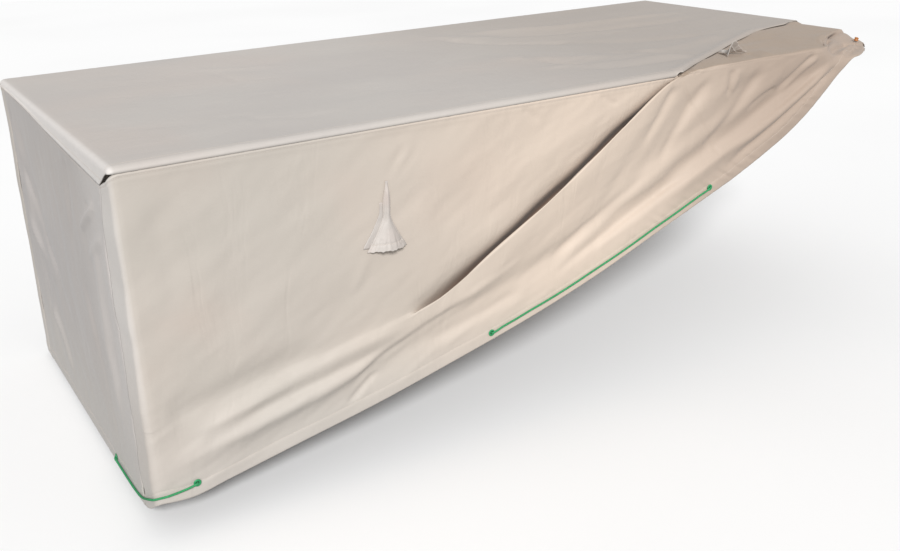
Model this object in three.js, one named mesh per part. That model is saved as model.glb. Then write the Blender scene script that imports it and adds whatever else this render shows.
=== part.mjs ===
// A fitted cloth cover for long outdoor seating, hanging as it does when its front right corner
// has been lifted and thrown back: taut on the left, with a deep slanting pleat across the front,
// a flap of folds to the right of it, and a hem that climbs to the right end.
// Millimetres. X runs along the cover, -Y is the front, +Z is up.
// The tables count heights from the ground. The group then lowers all to the mount under the top.

import * as THREE from 'three';
import { mergeVertices } from 'three/addons/utils/BufferGeometryUtils.js';

// Driving dimensions
const coverLength = 2000;
const coverDepth = 950;
const coverHeight = 710;
const clothThickness = 2;
const seamGap = 0.7;
const edgeRadius = 12;
const backWrap = 50;
const topSag = 7;
const middleDip = 4;
const endFlare = 9;
const frontFlare = 0.4 * endFlare;
const slitWidth = 11;
const tuck = 7;
const lip = 13;
const lipRise = 7;
const drawcordDiameter = 4.4;

const left = -coverLength / 2;
const right = coverLength / 2;
const front = -coverDepth / 2;
const back = coverDepth / 2;
const mountHeight = coverHeight - topSag - middleDip - clothThickness;

// Main pleat across the front, from the left corner up to where it meets the top edge.
// x and z place its valley, depth is how far the valley sinks, slope is the half width of the
// cloth that falls into it, step is the width of the wall that climbs out of it to the flap.
const pleatRows = [
  { x: -1000, z: 214, depth: 1, slope: 70, step: 40 },
  { x: -874, z: 241, depth: 5, slope: 75, step: 36 },
  { x: -724, z: 266, depth: 10, slope: 75, step: 30 },
  { x: -516, z: 300, depth: 16, slope: 70, step: 20 },
  { x: -400, z: 324, depth: 25, slope: 60, step: 12 },
  { x: -264, z: 399, depth: 33, slope: 55, step: 9 },
  { x: -52, z: 519, depth: 34, slope: 50, step: 8 },
  { x: 104, z: 618, depth: 24, slope: 36, step: 7 },
  { x: 200, z: 673, depth: 12, slope: 22, step: 6 },
  { x: 240, z: 690, depth: 6, slope: 14, step: 6 },
];

// How the cloth falls into the pleat and runs out from the ridge beside it.
const pleatShape = { slant: 0.85, sharpness: 1.5, ridgeShare: 0.35, ridgeSpread: 70, settle: 35 };

// Sections across the flap left of the pleat's top end: from the pleat at foldX to the hem at hemX.
const leftSections = [
  { foldX: -984, hemX: -984 },
  { foldX: -700, hemX: -672 },
  { foldX: -433, hemX: -374 },
  { foldX: -200, hemX: -110 },
  { foldX: -52, hemX: 75 },
  { foldX: 80, hemX: 235 },
  { foldX: 170, hemX: 340 },
  { foldX: 240, hemX: 430 },
];

// Sections to the right of the pleat's top end, where the flap lies on the top first. The fold is
// the line at which it comes out from under the top panel, the crest is where it turns down.
const rightSections = [
  { foldX: 240, foldY: -469, crestX: 246, crestY: -479, crestZ: 696, hemX: 430, hemY: -476, hemZ: 430 },
  { foldX: 275, foldY: -449, crestX: 290, crestY: -474, crestZ: 706, hemX: 480, hemY: -477, hemZ: 452 },
  { foldX: 323, foldY: -421, crestX: 345, crestY: -473, crestZ: 708, hemX: 530, hemY: -478, hemZ: 475 },
  { foldX: 405, foldY: -378, crestX: 435, crestY: -472, crestZ: 708, hemX: 600, hemY: -478, hemZ: 509 },
  { foldX: 500, foldY: -328, crestX: 530, crestY: -471, crestZ: 708, hemX: 665, hemY: -478, hemZ: 549 },
  { foldX: 612, foldY: -268, crestX: 630, crestY: -470, crestZ: 708, hemX: 728, hemY: -477, hemZ: 597 },
  { foldX: 712, foldY: -220, crestX: 720, crestY: -460, crestZ: 708, hemX: 786, hemY: -476, hemZ: 643 },
  { foldX: 800, foldY: -180, crestX: 800, crestY: -400, crestZ: 708, hemX: 845, hemY: -470, hemZ: 670 },
  { foldX: 895, foldY: -158, crestX: 893, crestY: -340, crestZ: 706, hemX: 925, hemY: -430, hemZ: 670 },
  { foldX: 988, foldY: -150, crestX: 988, crestY: -300, crestZ: 702, hemX: 988, hemY: -376, hemZ: 675 },
];

// How the flap turns down at its crest. Near the right end it drops over one small step instead,
// in soft lumps, and comes level with the top panel.
const crestShape = { radius: 14, overhang: 3, relief: 60, stepRun: 7, stepFall: 10 };
const flapTip = { stepFrom: 700, stepOver: 120, levelFrom: 925, levelOver: 50, lump: 2.5, lumps: 9 };

// Height of the front hem left of the flap's right sections.
const frontHemRows = [
  { x: -1000, z: 74 },
  { x: -943, z: 68 },
  { x: -866, z: 81 },
  { x: -719, z: 108 },
  { x: -548, z: 139 },
  { x: -364, z: 180 },
  { x: -166, z: 228 },
  { x: 14, z: 281 },
  { x: 196, z: 346 },
  { x: 430, z: 430 },
];

// Left end: the seam below the top edge drops more towards the front, the upright seam leans,
// and the hem rises at the front corner.
const leftDropRows = [
  { y: -420, drop: 42 },
  { y: -200, drop: 35 },
  { y: 0, drop: 27 },
  { y: 216, drop: 16 },
  { y: 475, drop: 13 },
];
const uprightSeamRows = [
  { z: 0, y: -392 },
  { z: 295, y: -393 },
  { z: 500, y: -376 },
  { z: 600, y: -392 },
  { z: 672, y: -414 },
];
const leftHemRows = [
  { y: -475, z: 74 },
  { y: -440, z: 48 },
  { y: -392, z: 26 },
  { y: -320, z: 19 },
  { y: 475, z: 12 },
];

// Right end and back: the lifted corner draws the hem up, most at the front of the right end.
const rightHemRows = [
  { y: -376, z: 648 },
  { y: -300, z: 580 },
  { y: -100, z: 463 },
  { y: 150, z: 343 },
  { y: 425, z: 226 },
  { y: 475, z: 205 },
];
const backHemRows = [
  { x: -1000, z: 12 },
  { x: -300, z: 12 },
  { x: 300, z: 46 },
  { x: 700, z: 116 },
  { x: 1000, z: 205 },
];
const rightEdgeRows = [
  { y: -376, z: 675 },
  { y: -312, z: 691 },
  { y: -296, z: 700 },
  { y: -200, z: 701 },
  { y: -150, z: 707 },
  { y: 475, z: 710 },
];

// Soft folds: each runs from its first point by way of the middle one to the last. Height is out
// of the cloth, negative for a trough. On the front the coordinates are x and z, on the top x and
// y, on the left end y and z, on the right end y and z, on the back x and z.
const frontFolds = [
  { name: 'ridge at the lower left', a0: -990, b0: 140, a1: -760, b1: 185, a2: -470, b2: 262, height: 9, width: 26 },
  { name: 'trough above the hem', a0: -620, b0: 190, a1: -400, b1: 268, a2: 60, b2: 402, height: -7, width: 24 },
  { name: 'deep trough of the flap', a0: -60, b0: 362, a1: 330, b1: 500, a2: 748, b2: 696, height: -15, width: 24 },
  { name: 'ridge beside it', a0: 200, b0: 430, a1: 470, b1: 535, a2: 770, b2: 680, height: 8, width: 22 },
  { name: 'trough below the crest', a0: 90, b0: 470, a1: 350, b1: 575, a2: 520, b2: 706, height: -12, width: 26 },
  { name: 'second trough from the crest', a0: -114, b0: 356, a1: 170, b1: 500, a2: 345, b2: 704, height: -10, width: 26 },
  { name: 'first trough from the crest', a0: 20, b0: 445, a1: 160, b1: 575, a2: 250, b2: 704, height: -7, width: 20 },
  { name: 'swell between the troughs', a0: 60, b0: 420, a1: 300, b1: 520, a2: 440, b2: 700, height: 7, width: 30 },
  { name: 'belly of the left face', a0: -900, b0: 470, a1: -500, b1: 450, a2: -150, b2: 560, height: 5, width: 130 },
  { name: 'hollow right of the vent', a0: -420, b0: 500, a1: -300, b1: 520, a2: -120, b2: 600, height: -5, width: 60 },
];
const topFolds = [
  { name: 'long wrinkle near the back', a0: 60, b0: 360, a1: 160, b1: 150, a2: 640, b2: 60, height: 5, width: 30 },
  { name: 'long wrinkle in the middle', a0: 40, b0: -30, a1: 120, b1: -150, a2: 420, b2: -330, height: 5, width: 28 },
  { name: 'wrinkle towards the pleat', a0: 250, b0: 100, a1: 400, b1: -90, a2: 700, b2: -170, height: -5, width: 30 },
  { name: 'dip of the middle', a0: -700, b0: 20, a1: 0, b1: 40, a2: 700, b2: 150, height: -middleDip, width: 190 },
];
const leftEndFolds = [
  { name: 'first drag fold', a0: 430, b0: 690, a1: 395, b1: 420, a2: 230, b2: 60, height: -9, width: 26 },
  { name: 'ridge beside it', a0: 400, b0: 670, a1: 330, b1: 430, a2: 130, b2: 80, height: 8, width: 28 },
  { name: 'second drag fold', a0: 350, b0: 660, a1: 210, b1: 440, a2: -60, b2: 160, height: -5, width: 34 },
  { name: 'fold by the upright seam', a0: -350, b0: 590, a1: -330, b1: 400, a2: -350, b2: 120, height: -4, width: 22 },
  { name: 'belly of the end', a0: -250, b0: 360, a1: 0, b1: 330, a2: 250, b2: 340, height: 7, width: 150 },
];
const rightEndFolds = [
  { name: 'upper drag fold', a0: -330, b0: 650, a1: -80, b1: 590, a2: 380, b2: 520, height: 9, width: 34 },
  { name: 'middle drag fold', a0: -300, b0: 620, a1: -40, b1: 500, a2: 400, b2: 360, height: -10, width: 34 },
  { name: 'lower drag fold', a0: -260, b0: 580, a1: 0, b1: 440, a2: 400, b2: 270, height: 8, width: 28 },
];
const backFolds = [
  { name: 'long drag fold', a0: 960, b0: 600, a1: 300, b1: 330, a2: -500, b2: 160, height: -9, width: 60 },
  { name: 'low drag fold', a0: 930, b0: 330, a1: 500, b1: 190, a2: 0, b2: 90, height: 8, width: 44 },
  { name: 'short fold at the right', a0: 940, b0: 480, a1: 700, b1: 340, a2: 420, b2: 230, height: 7, width: 40 },
  { name: 'belly of the back', a0: -700, b0: 380, a1: -200, b1: 360, a2: 400, b2: 420, height: 8, width: 180 },
];

// Small pieces
const frontVent = { x: -500, z: 598, length: 132, neck: 8, mouth: 43, rise: 17, pinch: 0.5, skew: 0 };
const ventThickness = 1.6;
const raisedVent = {
  x: 470, y: -366, z: 709, length: 50, neck: 9, mouth: 42, rise: 32, pinch: 0.2, skew: 0.5,
};
const eyelet = { radius: 7.5, bore: 3.3, height: 1.4, rounding: 1.2 };
const hemToggle = { radius: 6, height: 9 };

// Routes of the two drawcords, outside the cloth and just above the hem.
const cornerRoute = [
  [-1015.2, -203, 39],
  [-1015.6, -210, 38.1],
  [-1015.2, -214, 37.4],
  [-1014.5, -228, 36],
  [-1014.2, -255, 36],
  [-1014.2, -290, 37],
  [-1014.2, -330, 39],
  [-1014.2, -370, 44],
  [-1014.2, -405, 54],
  [-1014.2, -432, 67],
  [-1014.3, -463, 83],
  [-1010.5, -474, 87],
  [-1006.3, -478.4, 89],
  [-1000.8, -481.6, 90.5],
  [-988, -484.2, 91],
  [-970, -484.2, 91.5],
  [-953, -484.4, 93],
  [-940, -485.2, 95.5],
  [-929, -484.8, 97],
];
const frontRoute = [
  [-269, -484.1, 221],
  [-258, -484.4, 224.4],
  [-246, -483.6, 228],
  [-210, -483.2, 237],
  [-170, -483.2, 248],
  [-130, -483.1, 258],
  [-90, -483, 269],
  [-50, -482.9, 281],
  [-10, -482.7, 294],
  [30, -482.6, 307],
  [70, -482.5, 320],
  [110, -482.4, 334],
  [150, -482.3, 349],
  [190, -482.1, 364],
  [230, -482, 378],
  [270, -481.9, 393],
  [310, -481.8, 408],
  [330, -482.1, 415.5],
  [341, -482.8, 419.7],
  [352, -482.5, 424],
];
const frontOut = [0, -1, 0];
const eyeletPlaces = [
  { name: 'corner_eyelet_end', place: [-1011.4, -203, 39], outward: [-1, 0, 0] },
  { name: 'corner_eyelet_front', place: [-929, -481, 97], outward: frontOut },
  { name: 'front_eyelet_lower', place: [-269, -480.4, 221], outward: frontOut },
  { name: 'front_eyelet_upper', place: [352, -478.8, 424], outward: frontOut },
];
const hemTogglePlace = { place: [962, -374, 683], outward: [0.1, -0.2, 0.98] };

// Colours
const clothFront = 0xd8ccc0;
const clothTop = 0xbdb4ab;
const clothEnd = 0xc9c4bf;
const cordGreen = 0x2aa566;
const toggleBrown = 0xb0703f;

function clothMaterial(colour) {
  return new THREE.MeshStandardMaterial({ color: colour, roughness: 0.55, metalness: 0 });
}

// A value between 0 and 1 that eases in and out.
function ease(value) {
  const t = Math.min(1, Math.max(0, value));
  return t * t * (3 - 2 * t);
}

function mix(a, b, t) {
  return a + (b - a) * t;
}

// Reads a column of a table at a key, with a smooth curve that never passes its neighbours.
function readTable(rows, key, column, at) {
  const last = rows.length - 1;
  const rising = rows[last][key] > rows[0][key];
  const inside = rising
    ? Math.min(rows[last][key], Math.max(rows[0][key], at))
    : Math.max(rows[last][key], Math.min(rows[0][key], at));
  let i = 0;
  while (i < last - 1 && (rising ? rows[i + 1][key] < inside : rows[i + 1][key] > inside)) i += 1;
  const slope = (n) => {
    if (n < 0 || n >= last) return null;
    return (rows[n + 1][column] - rows[n][column]) / (rows[n + 1][key] - rows[n][key]);
  };
  const tangent = (n) => {
    const before = slope(n - 1);
    const after = slope(n);
    if (before === null) return after;
    if (after === null) return before;
    return before * after <= 0 ? 0 : (2 * before * after) / (before + after);
  };
  const span = rows[i + 1][key] - rows[i][key];
  const t = (inside - rows[i][key]) / span;
  const t2 = t * t;
  const t3 = t2 * t;
  return rows[i][column] * (2 * t3 - 3 * t2 + 1) + tangent(i) * span * (t3 - 2 * t2 + t)
    + rows[i + 1][column] * (3 * t2 - 2 * t3) + tangent(i + 1) * span * (t3 - t2);
}

// Height of all soft folds of a panel at a point: a bell across each fold, fading at both ends.
function foldHeight(folds, a, b) {
  const steps = 16;
  let total = 0;
  for (const fold of folds) {
    let nearest = Infinity;
    let place = 0;
    for (let k = 0; k <= steps; k += 1) {
      const t = k / steps;
      const s = 1 - t;
      const ca = s * s * fold.a0 + 2 * s * t * fold.a1 + t * t * fold.a2;
      const cb = s * s * fold.b0 + 2 * s * t * fold.b1 + t * t * fold.b2;
      const distance = Math.hypot(a - ca, b - cb);
      if (distance < nearest) {
        nearest = distance;
        place = t;
      }
    }
    const fade = ease(place / 0.2) * ease((1 - place) / 0.2) * 0.85 + 0.15;
    total += fold.height * fade * Math.exp(-((nearest / fold.width) ** 2));
  }
  return total;
}

// Turns a grid of points into a closed sheet of the cloth's thickness. Rows may hold null where
// the panel has no cloth. The points are the outer face, and the inner one lies behind it.
function sheetFromGrid(grid, thickness) {
  const positions = [];
  const indexOf = grid.map((row) => row.map((point) => {
    if (point === null) return -1;
    positions.push(point.x, point.y, point.z);
    return positions.length / 3 - 1;
  }));
  const faces = [];
  for (let r = 0; r + 1 < grid.length; r += 1) {
    for (let c = 0; c + 1 < grid[r].length; c += 1) {
      const corners = [indexOf[r][c], indexOf[r + 1][c], indexOf[r + 1][c + 1], indexOf[r][c + 1]];
      if (corners.every((n) => n >= 0)) {
        faces.push(corners[0], corners[1], corners[2], corners[0], corners[2], corners[3]);
      }
    }
  }
  let surface = new THREE.BufferGeometry();
  surface.setAttribute('position', new THREE.Float32BufferAttribute(positions, 3));
  surface.setIndex(faces);
  surface = mergeVertices(surface, 0.05);
  const kept = [];
  const index = surface.getIndex();
  for (let k = 0; k < index.count; k += 3) {
    const tri = [index.getX(k), index.getX(k + 1), index.getX(k + 2)];
    if (new Set(tri).size === 3) kept.push(tri);
  }
  surface.setIndex(kept.flat());
  surface.computeVertexNormals();
  const outer = surface.getAttribute('position');
  const normal = surface.getAttribute('normal');
  const count = outer.count;
  const both = [];
  for (let n = 0; n < count; n += 1) both.push(outer.getX(n), outer.getY(n), outer.getZ(n));
  for (let n = 0; n < count; n += 1) {
    both.push(outer.getX(n) - thickness * normal.getX(n));
    both.push(outer.getY(n) - thickness * normal.getY(n));
    both.push(outer.getZ(n) - thickness * normal.getZ(n));
  }
  const shell = [];
  const edges = new Map();
  for (const [a, b, c] of kept) {
    shell.push(a, b, c, a + count, c + count, b + count);
    for (const [from, to] of [[a, b], [b, c], [c, a]]) {
      if (edges.has(`${to},${from}`)) edges.delete(`${to},${from}`);
      else edges.set(`${from},${to}`, [from, to]);
    }
  }
  for (const [from, to] of edges.values()) {
    shell.push(to, from, from + count, to, from + count, to + count);
  }
  const used = [...new Set(shell)].sort((p, q) => p - q);
  const renumber = new Map(used.map((old, fresh) => [old, fresh]));
  const closed = new THREE.BufferGeometry();
  const points = used.flatMap((n) => both.slice(3 * n, 3 * n + 3));
  closed.setAttribute('position', new THREE.Float32BufferAttribute(points, 3));
  closed.setIndex(shell.map((n) => renumber.get(n)));
  closed.computeVertexNormals();
  return closed;
}

const point = (x, y, z) => new THREE.Vector3(x, y, z);

// Height of the top before its edges turn down.
function topHeight(x, y) {
  const alongEdge = 1 - (x / right) ** 2;
  const acrossEdge = 1 - (y / back) ** 2;
  const margin = 60;
  const fade = ease(Math.min(right - Math.abs(x), back - Math.abs(y)) / margin);
  return coverHeight - topSag * alongEdge * Math.max(0, acrossEdge) + fade * foldHeight(topFolds, x, y);
}

// How far the cloth of the front stands out of the front plane, besides the main pleat.
function frontRelief(x, z) {
  const margin = { top: 50, left: 90, right: 60 };
  const fade = ease((coverHeight - z) / margin.top) * ease((x - left) / margin.left)
    * ease((right - x) / margin.right);
  return fade * foldHeight(frontFolds, x, z);
}

// The ends lean out a little towards the ground, and the front less so.
function flareAt(z) {
  return endFlare * ease((coverHeight - z) / coverHeight);
}

function frontLine(z) {
  return front - frontFlare * ease((coverHeight - z) / coverHeight);
}

// A place on the plan line round the front left corner: negative goes back along the left end.
function roundFrontLeft(along, z) {
  const flare = flareAt(z);
  const arc = edgeRadius * Math.PI / 2;
  const centreX = left + edgeRadius;
  const centreY = front + edgeRadius;
  if (along <= 0) {
    return { x: left - flare, y: centreY - along, nx: -1, ny: 0 };
  }
  if (along >= arc) {
    return { x: centreX + along - arc, y: frontLine(z), nx: 0, ny: -1 };
  }
  const angle = along / edgeRadius;
  const nx = -Math.cos(angle);
  const ny = -Math.sin(angle);
  return {
    x: centreX + nx * edgeRadius - flare * Math.cos(angle),
    y: centreY + ny * edgeRadius + (frontLine(z) - front) * Math.sin(angle),
    nx,
    ny,
  };
}

const pleatAt = (x, column) => readTable(pleatRows, 'x', column, x);

// A point of the left face, above the pleat: share 0 is the top seam, 1 the bottom of the pleat.
function leftFacePoint(x, share, topZ) {
  const valleyZ = pleatAt(x, 'z');
  const z = mix(topZ, valleyZ, share);
  const away = (z - valleyZ) * pleatShape.slant;
  const sink = pleatAt(x, 'depth') * Math.exp(-((away / pleatAt(x, 'slope')) ** pleatShape.sharpness));
  return { z, out: frontRelief(x, z) * ease(away / pleatShape.settle) - sink };
}

// Distances from the bottom of the pleat at which the rows of the flap lie, then shares to the hem.
const stepShares = [0, 0.35, 0.7, 1];
const crestDistances = [9, 24];
const flapShares = [0.09, 0.18, 0.27, 0.36, 0.45, 0.54, 0.63, 0.72, 0.81, 0.9, 1];

// Shares of the flap's reach over the top, and the two rows of the turn at its crest.
const topShares = [0, 0.28, 0.64, 1];
const crestTurn = [
  { run: 0.6, fall: 0.15 },
  { run: 1, fall: 0.75 },
];

// Rows of a section left of the pleat's top end, from the bottom of the pleat down to the hem.
function leftSectionRows(foldX, foldZ, hemX, hemZ, depth, step) {
  const span = Math.hypot(hemX - foldX, hemZ - foldZ);
  const rows = [];
  const ridge = pleatShape.ridgeShare * depth;
  const put = (away, out) => {
    const x = mix(foldX, hemX, away / span);
    const z = mix(foldZ, hemZ, away / span);
    const settle = ease((away - step) / pleatShape.settle);
    rows.push({ x, z, out: out + settle * frontRelief(x, z) });
  };
  const beyondRidge = (distance) => ridge * Math.exp(-((distance / pleatShape.ridgeSpread) ** 2));
  for (const share of stepShares) put(share * step, mix(-depth, ridge, ease(share)));
  for (const distance of crestDistances) put(step + distance, beyondRidge(distance));
  const start = step + crestDistances[crestDistances.length - 1];
  for (const share of flapShares) {
    const away = mix(start, span, share);
    put(away, beyondRidge(away - step));
  }
  return rows;
}

// Where the fold of the flap nears the right end, it comes level with the top panel.
function atRightEdge(x) {
  return ease((x - flapTip.levelFrom) / flapTip.levelOver);
}

// Rows of a section right of it: out from under the top panel, over the top to the crest, round
// the edge and down to the hem. Nearer the right end the cloth past the crest lies one step lower.
function rightSectionRows(section) {
  const { foldX, foldY, crestX, crestY, crestZ, hemX, hemY, hemZ } = section;
  const foldZ = coverHeight - tuck * (1 - atRightEdge(foldX));
  const stepped = ease((crestX - flapTip.stepFrom) / flapTip.stepOver);
  const rows = [];
  for (const share of topShares) {
    const x = mix(foldX, crestX, share);
    const y = mix(foldY, crestY, share);
    const rest = Math.min(crestZ, topHeight(x, y) - 1);
    const out = Math.hypot(crestX - foldX, crestY - foldY) * share;
    const lying = mix(foldZ, rest, ease(out / (2 * lip)));
    rows.push(point(x, y, mix(lying, crestZ, ease(share) ** 2)));
  }
  const reach = Math.hypot(hemX - crestX, hemY - crestY);
  const toHemX = (hemX - crestX) / reach;
  const toHemY = (hemY - crestY) / reach;
  for (const { run, fall } of crestTurn) {
    const overEdge = point(
      crestX + toHemX * crestShape.overhang * run,
      Math.max(front - crestShape.overhang, crestY - crestShape.radius * run),
      crestZ - crestShape.radius * fall,
    );
    const overStep = point(
      crestX + toHemX * crestShape.stepRun * run,
      crestY + toHemY * crestShape.stepRun * run,
      crestZ - crestShape.stepFall * fall,
    );
    rows.push(overEdge.lerp(overStep, stepped));
  }
  const start = rows[rows.length - 1];
  for (const share of flapShares) {
    const x = mix(start.x, hemX, share);
    const z = mix(start.z, hemZ, share);
    const hanging = mix(start.y, hemY, ease(share));
    const flat = mix(start.y, hemY, share);
    const relief = frontRelief(x, z) * (1 - stepped) * ease((share * (crestZ - hemZ)) / crestShape.relief);
    const lumps = stepped * flapTip.lump * Math.sin(share * flapTip.lumps) * (1 - share);
    rows.push(point(x, mix(hanging, flat, stepped) - relief, z + lumps));
  }
  return rows;
}

function sectionAt(sections, place) {
  const keyed = sections.map((row, n) => ({ ...row, n }));
  const result = {};
  for (const column of Object.keys(sections[0])) {
    result[column] = readTable(keyed, 'n', column, place);
  }
  return result;
}

// Height of the top seam of the front round the left corner, with the narrow slit left open there.
function frontTopSeam(along) {
  const seamTop = coverHeight - edgeRadius - seamGap;
  const arc = edgeRadius * Math.PI / 2;
  if (along >= arc) return seamTop;
  const wrap = uprightSeamRows[uprightSeamRows.length - 1].y - (front + edgeRadius);
  const share = (arc - along) / (arc + wrap);
  const lowest = coverHeight - leftDropRows[0].drop - seamGap;
  return mix(seamTop, lowest, share) - slitWidth * Math.sin(Math.PI * share) ** 2;
}

function frontPanel() {
  const leftFaceShares = [0, 0.12, 0.26, 0.42, 0.56, 0.68, 0.78, 0.86, 0.92, 0.96, 0.985];
  const columns = [];
  const wrapShares = [0, 0.35, 0.7, 1];
  const cornerShares = [0.33, 0.67];
  const arc = edgeRadius * Math.PI / 2;
  const seamY = (z) => readTable(uprightSeamRows, 'z', 'y', z);
  const wrapColumn = (alongAt) => {
    const column = [];
    const foldZ = pleatRows[0].z;
    const topZ = frontTopSeam(alongAt(coverHeight - leftDropRows[0].drop));
    const place = (z, out) => {
      const at = roundFrontLeft(alongAt(z), z);
      column.push(point(at.x + at.nx * out, at.y + at.ny * out, z));
    };
    for (const share of leftFaceShares) place(mix(topZ, foldZ, share), 0);
    const hemZ = readTable(leftHemRows, 'y', 'z', roundFrontLeft(alongAt(foldZ), coverHeight).y);
    for (const row of leftSectionRows(left, foldZ, left, hemZ, pleatRows[0].depth, pleatRows[0].step)) {
      place(row.z, row.out);
    }
    return column;
  };
  for (const share of wrapShares) {
    const alongAt = (z) => -mix(seamY(z) - seamGap - (front + edgeRadius), 0, share);
    columns.push(wrapColumn(alongAt));
  }
  for (const share of cornerShares) columns.push(wrapColumn(() => share * arc));

  const leftCount = 34;
  const lastLeft = leftSections.length - 1;
  for (let n = 0; n <= leftCount; n += 1) {
    const place = lastLeft * (n / leftCount);
    const { foldX, hemX } = sectionAt(leftSections, place);
    const foldZ = pleatAt(foldX, 'z');
    const hemZ = readTable(frontHemRows, 'x', 'z', hemX);
    const column = [];
    for (const share of leftFaceShares) {
      const { z, out } = leftFacePoint(foldX, share, coverHeight - edgeRadius - seamGap);
      column.push(point(foldX, frontLine(z) - out, z));
    }
    const step = pleatAt(foldX, 'step');
    for (const row of leftSectionRows(foldX, foldZ, hemX, hemZ, pleatAt(foldX, 'depth'), step)) {
      column.push(point(row.x, frontLine(row.z) - row.out, row.z));
    }
    columns.push(column);
  }

  const rightCount = 26;
  const lastRight = rightSections.length - 1;
  const empty = leftFaceShares.map(() => null);
  for (let n = 1; n <= rightCount; n += 1) {
    const place = lastRight * (n / rightCount);
    columns.push([...empty, ...rightSectionRows(sectionAt(rightSections, place))]);
  }
  const rim = columns[columns.length - 1];
  const overEdge = [
    { out: 0.7, fall: 0.3 },
    { out: 1, fall: 1 },
  ];
  for (const { out, fall } of overEdge) {
    columns.push(rim.map((at) => {
      if (at === null) return null;
      const reach = right - rightSections[lastRight].foldX;
      return point(at.x + reach * out, at.y, at.z - edgeRadius * fall);
    }));
  }
  return sheetFromGrid(columns, clothThickness);
}

// Front boundary of the top panel: along the front edge, then slanting back along the fold, where
// its rolled lip lies over the flap but for the last stretch at the right end.
function topPanelFront(x) {
  const keyed = rightSections.map((row) => ({ x: row.foldX, y: row.foldY }));
  if (x <= keyed[0].x) return front;
  const lipEnd = 45;
  const clear = 1.5;
  return readTable(keyed, 'x', 'y', x) - mix(lip, -clear, atRightEdge(x + lipEnd));
}

function topPanel() {
  const leftCount = 12;
  const rightCount = 12;
  const shares = [0, 0.025, 0.06, 0.12, 0.21, 0.31, 0.42, 0.53, 0.64, 0.75, 0.86, 0.95, 1];
  const dropLevels = [1, 0.5, 0];
  const turn = 0.3 * edgeRadius;
  const fullFall = edgeRadius - seamGap;
  const start = left + edgeRadius;
  const end = right - edgeRadius;
  const bend = rightSections[0].foldX;
  const columns = [];

  const seamY = uprightSeamRows[uprightSeamRows.length - 1].y;
  for (const level of dropLevels) {
    const frontY = mix(front + edgeRadius, seamY, level);
    const drop = shares.map((share) => {
      const y = mix(frontY, back - edgeRadius, share);
      const z = coverHeight - mix(edgeRadius, readTable(leftDropRows, 'y', 'drop', y), level);
      return point(left - flareAt(z), y, z);
    });
    columns.push([null, null, ...drop, null, null]);
  }

  const acrossTop = (x) => {
    const yFront = topPanelFront(x);
    const slant = ease((x - bend + 10) / 20);
    const frontFlat = yFront + mix(edgeRadius, 0, slant);
    const frontFall = mix(fullFall, 0, slant);
    const column = [
      point(x, yFront, coverHeight - frontFall + 0.2 * lipRise * slant),
      point(x, yFront + mix(turn, 2, slant), coverHeight - 0.3 * frontFall + 0.57 * lipRise * slant),
    ];
    for (const share of shares) {
      const y = mix(frontFlat + 5 * slant, back - edgeRadius, share);
      const roll = lipRise * slant * Math.exp(-(((y - frontFlat - lip) / (1.2 * lip)) ** 2));
      column.push(point(x, y, topHeight(x, y) + roll));
    }
    column.push(point(x, back - turn, coverHeight - 0.3 * fullFall));
    column.push(point(x, back, coverHeight - fullFall));
    return column;
  };
  const turnDown = (column, x, fall) => column.map((at, n) => {
    const onEdge = n < 2 || n >= column.length - 2;
    return point(x, at.y, onEdge ? Math.min(at.z, coverHeight - fall) : at.z - fall);
  });
  const xs = [];
  for (let n = 0; n <= leftCount; n += 1) xs.push(mix(start, bend - 6, n / leftCount));
  xs.push(bend + 4);
  for (let n = 0; n <= rightCount; n += 1) xs.push(mix(bend + 16, end, n / rightCount));
  columns.push(turnDown(acrossTop(start), left + turn, turn));
  for (const x of xs) columns.push(acrossTop(x));
  const rim = columns[columns.length - 1];
  columns.push(turnDown(rim, right - turn, turn));
  columns.push(turnDown(rim, right, fullFall));
  return sheetFromGrid(columns, clothThickness);
}

function backPanel() {
  const count = 20;
  const heightShares = [0, 0.09, 0.2, 0.32, 0.44, 0.56, 0.68, 0.8, 0.91, 1];
  const wrapShares = [0, 0.5, 1];
  const margin = { side: 80, top: 0.12 };
  const topZ = coverHeight - leftDropRows[leftDropRows.length - 1].drop - seamGap;
  const turn = 0.3 * edgeRadius;
  const slanted = Math.SQRT1_2;
  const wrap = (x, nx, share) => ({ x, y: mix(back - backWrap, back - edgeRadius, share), nx, ny: 0 });
  const places = wrapShares.map((share) => wrap(right, 1, share));
  places.push({ x: right - turn, y: back - turn, nx: slanted, ny: slanted });
  for (let n = 0; n <= count; n += 1) {
    places.push({ x: mix(right - edgeRadius, left + edgeRadius, n / count), y: back, nx: 0, ny: 1 });
  }
  places.push({ x: left + turn, y: back - turn, nx: -slanted, ny: slanted });
  for (const share of [...wrapShares].reverse()) places.push(wrap(left, -1, share));

  const columns = places.map((at) => heightShares.map((share) => {
    const hemZ = at.x === right
      ? readTable(rightHemRows, 'y', 'z', at.y)
      : readTable(backHemRows, 'x', 'z', at.x);
    const z = mix(topZ, hemZ, share);
    const sideFade = at.ny === 1 ? ease((right - Math.abs(at.x)) / margin.side) : 0;
    const out = flareAt(z) + sideFade * ease(share / margin.top) * foldHeight(backFolds, at.x, z);
    return point(at.x + at.nx * out, at.y + at.ny * out, z);
  }));
  return sheetFromGrid(columns, clothThickness);
}

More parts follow.
